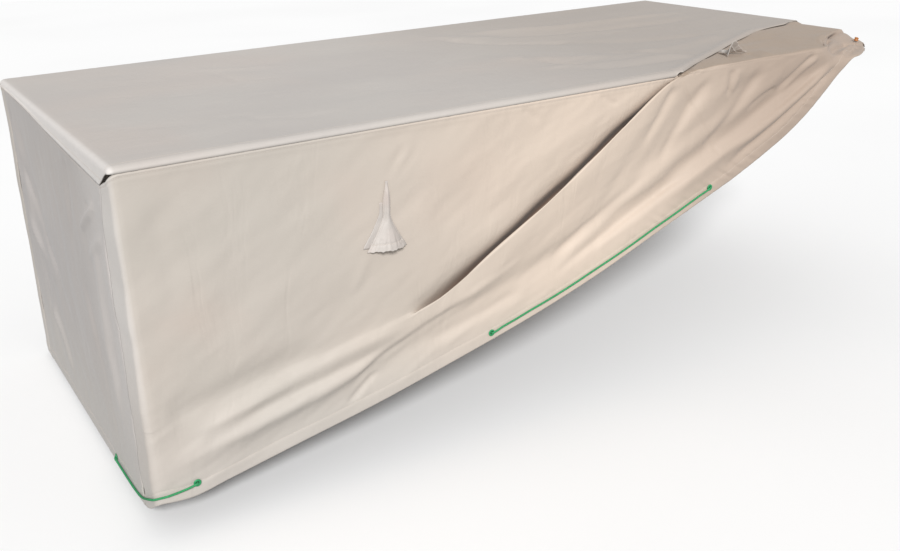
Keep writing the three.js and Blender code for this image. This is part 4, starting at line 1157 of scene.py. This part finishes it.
def solid_mesh(name, points, faces):
    """A closed mesh object with faces turned outwards."""
    piece = new_piece(name, points, faces)
    shape = bmesh.new()
    shape.from_mesh(piece.data)
    bmesh.ops.recalc_face_normals(shape, faces=shape.faces)
    shape.to_mesh(piece.data)
    shape.free()
    piece.data.shade_smooth()
    return piece


# Vents


def front_face(x, z):
    """Y of the cloth's face left of the pleat, its finer creases counted."""
    fine = relief(FRONT_CREASES, x, z, True) + front_waves(x, z)
    return front_line(z) - front_relief(x, z) - fine


def front_waves(x, z):
    """The front's gentle uneven waves and small ripples."""
    return uneven(x, z, 0.0010, 0.45, (3, 0.110, 2.2), (5, 0.030, 2.5))


VENT_FLARE = 1.25
HOOD_LIFT = 0.0022
NECK_RISE = 0.006
NEAR_MOUTH = np.array([0.015, 0.0136, 0.013, 0.0124, 0.011, 0.008, 0.005, 0.003, 0.0015, 0.0006, 0])
MOUTH_STITCHES = 0.0132
VENT_HEM_ROW = -9


def vent_hood(name, vent, foot_at, up, seed):
    """A hooded vent: a narrow neck that flares to an open mouth. Across runs from -1 to 1 and down
    from 0 at its apex to 1 at the mouth. The crown stands (1 - across squared) to the power of
    1 + pinch high, and the mouth's hem is ruffled."""
    length = vent["length"]
    across = np.linspace(-1, 1, 65)[:, None]
    down = np.concatenate([np.linspace(0, 0.86, 44), 1 - NEAR_MOUTH / length])[None, :]
    flare = np.clip((down - 0.5) / 0.5, 0, 1) ** VENT_FLARE
    half = mix(vent["neck"], vent["mouth"], flare) * mix(0.3, 1, ease(down / 0.30))
    shifted = across - vent["skew"] * (1 - across ** 2)
    crown = (1 - shifted ** 2) ** (1 + vent["pinch"])
    tunnel = mix(NECK_RISE, vent["rise"], flare) * ease(5 * down)
    wave = flare * (0.0008 * np.sin(across * 13) + 0.0006 * np.sin(across * 31) + 0.001 * across)
    frill = flare ** 2 * crown * (0.0008 * np.sin(across * 7.3 + 0.8) + 0.0005 * np.sin(across * 19 + 2))
    foot = foot_at(across * half, down * length + wave)
    grid = foot + np.array(up, float) * (HOOD_LIFT + tunnel * crown + frill)[..., None]
    piece = sheet_mesh(name, lowered(grid), up)
    from_mouth = (1 - down) * length + 0 * across
    band = 0.0006 * ease((MOUTH_STITCHES + 0.0004 - from_mouth) / 0.0012)
    groove = -0.0007 * bell(from_mouth - MOUTH_STITCHES, 0.0010)
    gathers = 0.0007 * bell(from_mouth - 0.012, 0.014) * pucker(across * half * 1.6, seed, 0.018)
    sides = -0.0005 * bell((1 - np.abs(across)) * half - 0.004, 0.0012)
    push_out(piece, band + groove + gathers + sides)
    return piece, grid.shape[:2]


def front_vent():
    """The vent hood on the front, hanging straight down on the cloth's own face."""
    def foot_at(side, along):
        x = FRONT_VENT["x"] + side - VENT_LEAN * along
        z = FRONT_VENT["z"] - along
        return places_at(x, front_face(x, z), z)

    return vent_hood("front_vent_cloth", FRONT_VENT, foot_at, (0, -1, 0), 83)


def raised_vent():
    """The vent hood on the flap's top, standing up with its mouth to the front."""
    def foot_at(side, along):
        x = RAISED_VENT["x"] + along * VENT_TURN[0] - side * VENT_TURN[1]
        y = RAISED_VENT["y"] - along * VENT_TURN[1] - side * VENT_TURN[0]
        return places_at(x, y, RAISED_VENT["z"])

    return vent_hood("raised_vent_cloth", RAISED_VENT, foot_at, (0, 0, 1), 89)


def vent_backing():
    """The cloth behind the front vent, a narrow layer that shows at the hood's left edge."""
    across = np.linspace(-1, 1, 24)[:, None]
    down = np.linspace(0.30, 0.97, 30)[None, :]
    flare = np.clip((down - 0.44) / 0.5, 0, 1) ** VENT_FLARE
    half = mix(FRONT_VENT["neck"] + 0.001, FRONT_VENT["mouth"] + 0.001, flare)
    x = FRONT_VENT["x"] - 0.006 + across * half - VENT_LEAN * down * FRONT_VENT["length"]
    z = FRONT_VENT["z"] - down * FRONT_VENT["length"] + 0 * across - 0.004 * across * flare
    grid = places_at(x, front_face(x, z) - 0.0011, z)
    return sheet_mesh("front_vent_backing", lowered(grid), (0, -1, 0))


# Cords, eyelets and toggle

PLAIT_LENGTH = 0.0085
PLAIT_SINK = 0.00010
PLAIT_RISE = 0.00016
CORD_SIDES = 24
CORD_PITCH = 0.0011
CORD_DIP = (0.0052, 0.0022)


def round_angles(count):
    """Even angles round a circle."""
    return np.linspace(0, 2 * math.pi, count + 1)[:-1]


def through(route, pitch):
    """A smooth line through a route's points: a cubic between each two, whose slope at a point is
    the way from its neighbour before to its neighbour after, taken over the length between them."""
    route = np.array(route, float)
    at = line_lengths(route)
    slope = np.gradient(route, at, axis=0)
    along = np.linspace(0, at[-1], int(at[-1] / pitch))
    i = np.clip(np.searchsorted(at, along) - 1, 0, len(at) - 2)
    span = np.diff(at)[i][:, None]
    share = (along - at[i])[:, None] / span
    return cubic(route[i], route[i + 1], slope[i] * span, slope[i + 1] * span, share)


def braided_cord(name, route, start_in, end_in):
    """A round cord of plaited strands that dips into its eyelets at both ends. Its radius at angle
    a and length s grows where the strands of both turnings cross: sin(4a + ks) sin(4a - ks)."""
    start, end = ([np.array(place) + np.array(inward) * depth for depth in CORD_DIP]
                  for place, inward in ((route[0], start_in), (route[-1], end_in)))
    centre = lowered(through([*start, *route[1:-1], *end[::-1]], CORD_PITCH))
    run = unit(np.gradient(centre, axis=0))
    flat = unit(np.cross(run, np.array([0.05, 0.05, 1.0])))
    rise = np.cross(flat, run)
    turn = round_angles(CORD_SIDES)
    along = line_lengths(centre)
    twist = 2 * math.pi / PLAIT_LENGTH * along[:, None]
    radius = CORD / 2 - PLAIT_SINK + PLAIT_RISE * np.sin(4 * turn + twist) * np.sin(4 * turn - twist)
    ring = np.cos(turn)[None, :, None] * flat[:, None] + np.sin(turn)[None, :, None] * rise[:, None]
    points = (centre[:, None] + radius[..., None] * ring).reshape(-1, 3)
    points = np.concatenate([points, centre[:1], centre[-1:]])
    count = len(centre)
    step = np.arange(CORD_SIDES)
    after = (step + 1) % CORD_SIDES
    base = (CORD_SIDES * np.arange(count - 1))[:, None]
    above = base + CORD_SIDES
    walls = np.stack([base + step, base + after, above + after, above + step], axis=-1)
    tip = 0 * step + CORD_SIDES * count
    first = np.stack([tip, after, step], axis=1)
    last = np.stack([tip + 1, base[-1] + CORD_SIDES + step, base[-1] + CORD_SIDES + after], axis=1)
    piece = solid_mesh(name, points, walls.reshape(-1, 4).tolist() + first.tolist() + last.tolist())
    set_uv(piece, lambda corner: np.stack([
        (corner % CORD_SIDES) / CORD_SIDES, along[np.minimum(corner // CORD_SIDES, count - 1)]], axis=1))
    return piece, centre


def turned(name, outline, place, outward, segments=48):
    """A turned piece: its outline of radius and height goes round the outward direction. An end of
    the outline on the axis closes there, and one that doesn't joins the outline's other end."""
    n = unit(np.array(outward, float))
    a = unit(np.cross(n, np.array([0.1, 0.2, 1.0])))
    b = np.cross(n, a)
    outline = np.array(outline, float)
    turn = round_angles(segments)
    ring = np.cos(turn)[:, None] * a + np.sin(turn)[:, None] * b
    points = lowered(np.array(place, float)) + outline[:, None, :1] * ring[None] + outline[:, None, 1:] * n
    step = np.arange(segments)
    after = (step + 1) % segments
    rows = len(outline)
    faces = []
    for row in range(rows if outline[0, 0] > 0 else rows - 1):
        low, high = row * segments, (row + 1) % rows * segments
        faces.append(np.stack([low + step, low + after, high + after, high + step], axis=1))
    piece = solid_mesh(name, points.reshape(-1, 3), np.concatenate(faces).tolist())
    weld(piece, 0.000001)
    return piece


def eyelet(name, place, outward):
    """A flat ring with a rounded rim round its bore: half an ellipse stands on the cloth."""
    middle = (EYELET_RADIUS + EYELET_BORE) / 2
    width = (EYELET_RADIUS - EYELET_BORE) / 2
    half = np.radians(np.linspace(180, 0, 15))[1:-1]
    rim = [(middle + width * math.cos(a), EYELET_HEIGHT * math.sin(a) ** 0.7) for a in half]
    return turned(name, [(EYELET_BORE, 0), *rim, (EYELET_RADIUS, 0)], place, outward)


def throat(name, place, outward):
    """A shallow dark dish in an eyelet's bore: painted shade."""
    outline = [(0, 0.0001), (0.6 * EYELET_BORE, 0.0001), (EYELET_BORE, 0.0004), (EYELET_BORE, -0.0004),
               (0, -0.0004)]
    return turned(name, outline, place, outward, 24)


def toggle(name):
    """The stop on the flap's hem: a turned body with a waist and a rounded head."""
    outline = [(0, 0), (0.0044, 0), (0.0052, 0.0006), (0.0059, 0.0018), (0.0058, 0.0028),
               (0.0048, 0.0041), (0.0045, 0.0050), (0.0050, 0.0062), (0.0054, 0.0072),
               (0.0050, 0.0082), (0.0038, 0.0088), (0.0020, 0.0090), (0, 0.0090)]
    return turned(name, outline, TOGGLE_PLACE, TOGGLE_AXIS)


# Materials


def feed(tree, node, inputs):
    """Gives a node's inputs their values, or links them to the outputs given."""
    for name, value in inputs.items():
        if hasattr(value, "is_output"):
            tree.links.new(value, node.inputs[name])
        else:
            node.inputs[name].default_value = value


def add_node(tree, kind, inputs, output=0, **settings):
    """An output of a new shader node with its inputs and settings. The nodes lie in rows of eight."""
    made = tree.nodes.new("ShaderNode" + kind)
    place = len(tree.nodes)
    made.location = (220 * (place % 8), -300 * (place // 8))
    for name, value in settings.items():
        setattr(made, name, value)
    feed(tree, made, inputs)
    return made.outputs if output is None else made.outputs[output]


def rise_between(tree, value, start, stop, most=1.0):
    """A mask that goes softly from 0 where a value is start to its most where the value is stop."""
    reach = {"Value": value, "From Min": start, "From Max": stop, "To Max": most}
    return add_node(tree, "MapRange", reach, interpolation_type="SMOOTHSTEP")


def blend_colours(tree, share, a, b):
    """A colour that goes from one to another."""
    return add_node(tree, "Mix", {0: share, 6: a, 7: b}, 2, data_type="RGBA")


def new_group(name, inputs, outputs):
    """An empty node group, the sockets that it is given and those that it puts out."""
    group = bpy.data.node_groups.new(name, "ShaderNodeTree")
    for way, sockets in (("INPUT", inputs), ("OUTPUT", outputs)):
        for label, kind in sockets.items():
            group.interface.new_socket(label, in_out=way, socket_type="NodeSocket" + kind)
    return group, group.nodes.new("NodeGroupInput").outputs, group.nodes.new("NodeGroupOutput")


def weave_group():
    """Plain weave: threads both ways at the spacing given, on the cloth's own lengths. Height is
    sin(u) sin(v), and shade darkens slowly and unevenly along the threads."""
    group, given, put = new_group(
        "weave", {"Lengths": "Vector", "Threads": "Float"}, {"Height": "Float", "Shade": "Float"})
    counted = {0: given["Lengths"], "Scale": given["Threads"]}
    scaled = add_node(group, "VectorMath", counted, operation="SCALE")
    parts = add_node(group, "SeparateXYZ", {0: scaled}, None)
    sines = [add_node(group, "Math", {0: parts[n]}, operation="SINE") for n in range(2)]
    height = add_node(group, "Math", dict(enumerate(sines)), operation="MULTIPLY")
    drawn = add_node(group, "VectorMath", {0: scaled, 1: (0.012, 0.30, 1.0)}, operation="MULTIPLY")
    streak = add_node(group, "TexNoise", {"Vector": drawn, "Scale": 1.0, "Detail": 3.0, "Roughness": 0.6})
    shade = add_node(group, "MapRange", {"Value": streak, "From Min": 0.30, "From Max": 0.70})
    feed(group, put, {"Height": height, "Shade": shade})
    return group


def patches_group():
    """Two soft uneven masks over the cloth, of the size given in metres."""
    group, given, put = new_group(
        "patches", {"Place": "Vector", "Size": "Float"}, {"First": "Float", "Second": "Float"})
    per_size = add_node(group, "Math", {0: 1.0, 1: given["Size"]}, operation="DIVIDE")
    for label, shift in (("First", (0.0, 0.0, 0.0)), ("Second", (4.1, 7.3, 2.9))):
        moved = add_node(group, "VectorMath", {0: given["Place"], 1: shift}, operation="ADD")
        cloud = add_node(group, "TexNoise", {"Vector": moved, "Scale": per_size, "Detail": 2.5,
                                             "Roughness": 0.5, "Distortion": 0.4})
        feed(group, put, {label: rise_between(group, cloud, 0.40, 0.66)})
    return group


def crumple_group():
    """Faint crumples of coated cloth: soft noise stretched along the way given by Stretch."""
    group, given, put = new_group(
        "crumples", {"Place": "Vector", "Stretch": "Vector"}, {"Height": "Float"})
    pulled = add_node(group, "VectorMath", {0: given["Place"], 1: given["Stretch"]}, operation="MULTIPLY")
    large = add_node(group, "TexNoise", {"Vector": pulled, "Scale": 1.0, "Detail": 3.0,
                                         "Roughness": 0.55, "Distortion": 0.7})
    centred = add_node(group, "Math", {0: large, 1: 0.5}, operation="SUBTRACT")
    ridged = add_node(group, "Math", {0: centred}, operation="ABSOLUTE")
    feed(group, put, {"Height": add_node(group, "Math", {0: large, 1: ridged}, operation="SUBTRACT")})
    return group


WEAVE = weave_group()
PATCHES = patches_group()
CRUMPLES = crumple_group()
THREADS = 2 * math.pi / 0.0013


def linear(r, g, b):
    """A colour as seen on a screen, from 0 to 255, as light."""
    light = [(c / 255 / 12.92) if c <= 10 else ((c / 255 + 0.055) / 1.055) ** 2.4 for c in (r, g, b)]
    return (*light, 1.0)


def new_material(name, size, stretch):
    """A material, its tree and shader, and what they read: places, patches and crumples."""
    made = bpy.data.materials.new(name)
    made.use_nodes = True
    tree = made.node_tree
    tree.nodes.clear()
    surface = add_node(tree, "BsdfPrincipled", {})
    add_node(tree, "OutputMaterial", {"Surface": surface}, None)
    place = add_node(tree, "TexCoord", {}, None)
    patches = add_node(tree, "Group", {"Place": place["Object"], "Size": size}, None, node_tree=PATCHES)
    crumples = add_node(tree, "Group", {"Place": place["Object"], "Stretch": stretch}, node_tree=CRUMPLES)
    return made, tree, surface.node, place, patches, crumples


def cloth_material(name, base, warm, cool, lying=None, low=None, along=(), size=0.42, stretch=(14, 14, 5)):
    """Satin coated woven polyester. Its colour goes softly from the base to a warmer and a cooler
    one in patches, to others between the places along the cover as painted light and shade, to
    the lying one on top of the flap as painted shade, to a dark one deep in a fold as painted
    shadow, to a pale one at turned edges as painted light, and to another low down."""
    made, tree, shader, place, patches, crumples = new_material(name, size, stretch)
    weave = add_node(tree, "Group", {"Lengths": place["UV"], "Threads": THREADS}, None, node_tree=WEAVE)
    parts = add_node(tree, "SeparateXYZ", {0: place["Object"]}, None)
    turns = [(patches["First"], warm), (patches["Second"], cool)]
    # Colours between places along the cover: painted light and shade
    turns += [(rise_between(tree, parts[0], start, stop, 0.8), shade) for start, stop, shade in along]
    # Attributes share out the painted shade on the flap's top, the painted shadow deep in folds and the
    # painted light at turned edges
    turns += [(add_node(tree, "Attribute", {}, "Fac", attribute_name=mark), shade)
              for mark, shade in (("lying", lying or base), ("deep", PAINTED_FOLD_SHADOW), ("pale", PAINTED_LIGHT_TINT))]
    if low:
        turns.append((rise_between(tree, parts[2], GROUND + 0.32, GROUND), low))
    colour = linear(*base)
    for share, shade in turns:
        colour = blend_colours(tree, share, colour, linear(*shade))
    shade = add_node(tree, "MapRange", {"Value": weave["Shade"], "To Min": 0.955})
    soft = add_node(tree, "Bump", {"Height": crumples, "Strength": 0.55, "Distance": 0.0035})
    feed(tree, shader, {
        "Base Color": add_node(tree, "VectorMath", {0: colour, "Scale": shade}, operation="SCALE"),
        "Roughness": add_node(tree, "MapRange", {"Value": patches["Second"], "To Min": 0.50, "To Max": 0.64}),
        "Normal": add_node(tree, "Bump", {"Height": weave["Height"], "Normal": soft, "Strength": 0.35,
                                          "Distance": 0.00012}),
        "Specular IOR Level": 0.42,
        "Sheen Weight": 0.12,
        "Sheen Roughness": 0.5,
    })
    return made


def plain_material(name, base, worn, roughness, size, coat=0.0):
    """A small piece's finish: its colour goes to a worn one in small uneven patches."""
    made, tree, shader, _, patches, crumples = new_material(name, size, (1 / size, 1 / size, 1 / size))
    feed(tree, shader, {
        "Base Color": blend_colours(tree, patches["First"], base, worn),
        "Roughness": roughness,
        "Coat Weight": coat,
        "Normal": add_node(tree, "Bump", {"Height": crumples, "Strength": 0.4, "Distance": 0.0003}),
    })
    return made


def set_share(piece, name, values):
    """The share of a colour at each point of a piece, under the name that its material reads."""
    layer = piece.data.attributes.new(name, "FLOAT", "POINT")
    layer.data.foreach_set("value", np.asarray(values, np.float32))


# Camera, cords and cloths

camera = add_object("camera", bpy.data.cameras.new("camera"))
camera.data.sensor_width = 36
camera.data.lens = 40.7466
camera.data.clip_end = 60
camera.location = (-1.35825, -2.10243, 1.14486 - LOWERED)
camera.rotation_euler = tuple(math.radians(a) for a in (67.9526, 1.69958, -32.10286))
bpy.context.scene.camera = camera

# Colours of painted shadow deep in the folds and of painted light at the turned edges
PAINTED_FOLD_SHADOW = (98, 76, 62)
PAINTED_LIGHT_TINT = (218, 213, 209)
green = plain_material("green_paint", linear(38, 140, 86), linear(48, 154, 100), 0.38, 0.004, 0.2)
green_cord = plain_material("green_braid", linear(38, 132, 80), linear(56, 152, 98), 0.72, 0.003)
brown = plain_material("brown_moulding", linear(182, 120, 66), linear(166, 104, 52), 0.42, 0.006)
# A dark finish for the eyelets' bores: painted shade
dark = plain_material("painted_bore_shade", linear(38, 44, 40), linear(26, 28, 28), 0.9, 0.003)

for cord_name, route, node, start_in in (
    ("corner_cord", CORNER_ROUTE, "corner_drawcord", (1, 0, 0)),
    ("front_cord", FRONT_ROUTE, "front_drawcord", (0, 1, 0)),
):
    piece, centre = braided_cord(cord_name, route, start_in, (0, 1, 0))
    finish_piece(piece, "drawcord_green", green_cord, node)

# One coated cloth in copies for the front, the top and the ends, each warmer, greyer or darker as light falls
# on it: painted light and shade. The front's is lighter towards its middle and darker over the flap, painted
# light and shade, and darker on the flap's upward faces, painted shade.
cloth_front = cloth_material(
    "front_cloth", (187, 179, 170), (190, 178, 168), (184, 177, 168), (163, 145, 128), (189, 183, 176),
    ((-0.8, 0.0, (210, 192, 175)), (0.0, 0.6, (159, 141, 127))))
# The top's copy darkens towards the right: painted shade
cloth_top = cloth_material(
    "top_cloth", (190, 184, 178), (191, 182, 175), (185, 179, 174),
    along=((-0.4, 0.6, (166, 156, 147)),), stretch=(5, 14, 14))
# The ends' copy is darker and greyer: painted shade
cloth_end = cloth_material(
    "end_cloth", (177, 171, 167), (175, 168, 163), (172, 167, 164), low=(181, 176, 170))
cloth_vent = cloth_material(
    "vent_cloth", (188, 181, 175), (189, 178, 171), (183, 177, 171), size=0.10, stretch=(40, 40, 16))
thread = plain_material("sewing_thread", linear(200, 190, 180), linear(188, 178, 168), 0.7, 0.004)

# Each cloth's own slot, material and solid
CLOTHS = {
    "front": ("cloth_front", cloth_front, "front_panel"),
    "top": ("cloth_top", cloth_top, "top_panel"),
    "back": ("cloth_front", cloth_front, "back_panel"),
    "left_end": ("cloth_end", cloth_end, "left_end_panel"),
    "right_end": ("cloth_end", cloth_end, "right_end_panel"),
    "front_vent": ("vent_cloth", cloth_vent, "front_vent_hood"),
    "raised_vent": ("vent_cloth", cloth_vent, "raised_vent_hood"),
}
front, front_grid, front_keep, face_rows, first_right = front_panel()
made = {
    "front": (front, front_grid.shape[:2], front_keep),
    "top": top_panel(),
    "back": back_panel(),
    "left_end": left_end_panel(),
    "right_end": right_end_panel(),
    "front_vent": front_vent(),
    "raised_vent": raised_vent(),
}
pieces = {name: parts[0] for name, parts in made.items()}
lines = {name: on_grid(*parts) for name, parts in made.items()}

# Lines of stitches along each cloth's hem and seams
hem_row = 1 - len(FROM_HEM)
hood = lines["front_vent"]
top_line = lines["top"][:, TOP_SEAM_ROW]
last_column = int(np.argmax(top_line[:, 0] > TOP_STITCHES_END))
seams = {name: [grid[1:, hem_row], grid[:, SEAM_ROW]] for name, grid in lines.items()}
seams["front"] = [lines["front"][:, hem_row], lines["front"][:first_right, SEAM_ROW]]
seams["top"] = [top_line[DROP_COLUMNS:last_column], lines["top"][DROP_STITCHES, 6:-6]]
seams["front_vent"] = [hood[:, VENT_HEM_ROW], hood[3, 6:-4], hood[-4, 6:-4]]
seams["raised_vent"] = [lines["raised_vent"][:, VENT_HEM_ROW]]

# Shares of the painted colours: painted shade on the flap's upward faces, painted shadow deep in the pleat
# and under the slit, and painted light at the turned edges
places, normals = read_points(front)
crest_row = face_rows + STEP_ROWS - 1
rows = np.arange(front_grid.shape[1])[None, :]
on_flap = ease((front_grid[..., 0] - 0.2) / 0.06) * ease((crest_row + 4 - rows) / 4)
# Painted shade: the flap's upward faces darker by how far they face up
set_share(front, "lying", ease((normals[:, 2] - 0.25) / 0.5) * on_flap[front_keep])
# Painted shadow: darker where the left face sinks into the pleat's valley, and at the foot of the step under
# the slit at the tip
sunk = ease((front_grid[..., 1] - front_line(front_grid[..., 2]) - 0.003) / 0.024)
sunk *= ease((front_grid[..., 0] + 0.5) / 0.1)
sunk[:, crest_row - 4:] = 0
slit = bell(front_grid[first_right:, crest_row, :1] - SLIT_MIDDLE, SLIT_REACH)
sunk[first_right:] = slit * ((rows > crest_row + 2) & (rows < crest_row + 8))
set_share(front, "deep", 0.9 * sunk[front_keep])
# Painted light: paler on the front's wrap round the left corner, on the top's drop over the left end, and
# towards the front of the left end
high_up = ease((places[:, 2] - GROUND - 0.04) / 0.45)
set_share(front, "pale", 0.7 * high_up * ease((LEFT + 0.010 - places[:, 0]) / 0.014))
places, _ = read_points(pieces["top"])
set_share(pieces["top"], "pale", 0.9 * ease((LEFT + 0.014 - places[:, 0]) / 0.012))
places, _ = read_points(pieces["left_end"])
set_share(pieces["left_end"], "pale", 0.35 * ease((-0.16 - places[:, 1]) / 0.24))

for name, piece in pieces.items():
    if "vent" in name:
        thicken(piece, VENT_CLOTH)
    else:
        weld(piece)
        thicken(piece, CLOTH)
backing = vent_backing()
thicken(backing, BACKING_CLOTH)
for name, (slot, material, node) in CLOTHS.items():
    finish_piece(pieces[name], slot, material, node)
finish_piece(backing, "vent_cloth", cloth_vent)
sewing = {name: [finish_piece(stitch_rows(name + "_stitches", seam), CLOTHS[name][0], thread)]
          for name, seam in seams.items()}
for name, place, outward in EYELETS:
    finish_piece(eyelet(name + "_ring", place, outward), "eyelet_green", green, name)
    # Each eyelet's throat, a dark dish in its bore: painted shade
    finish_piece(throat(name + "_throat", place, outward), "eyelet_green", dark)
finish_piece(toggle("hem_stop"), "toggle_brown", brown, "hem_toggle")

# Ground, light and world. Only the camera sees the ground and the world at their full brightness.
corners = [(-9, -9, GROUND), (9, -9, GROUND), (9, 9, GROUND), (-9, 9, GROUND)]
ground = new_piece("ground", corners, [(0, 1, 2, 3)])
pale = plain_material("pale_ground", (0.93, 0.93, 0.93, 1), (0.91, 0.91, 0.91, 1), 0.9, 2.0)
ground.data.materials.append(pale)
painted = next(link for link in pale.node_tree.links if link.to_socket.name == "Base Color")
direct = add_node(pale.node_tree, "LightPath", {}, "Is Camera Ray")
duller = blend_colours(pale.node_tree, direct, (0.42, 0.42, 0.42, 1), painted.from_socket)
feed(pale.node_tree, painted.to_node, {"Base Color": duller})

# An even light from the front left, as a far large lamp gives
lamp = bpy.data.lights.new("key", "SUN")
lamp.energy = 3.3
lamp.angle = math.radians(14)
add_object("key", lamp).rotation_euler = (math.radians(90 - 33), 0, math.radians(-25))

world = bpy.data.worlds.new("studio")
world.use_nodes = True
direct = add_node(world.node_tree, "LightPath", {}, "Is Camera Ray")
strength = add_node(world.node_tree, "MapRange", {"Value": direct, "To Min": 0.50, "To Max": 1.0})
feed(world.node_tree, world.node_tree.nodes["Background"], {0: (1, 1, 1, 1), 1: strength})
bpy.context.scene.world = world
bpy.context.scene.view_settings.view_transform = "Standard"
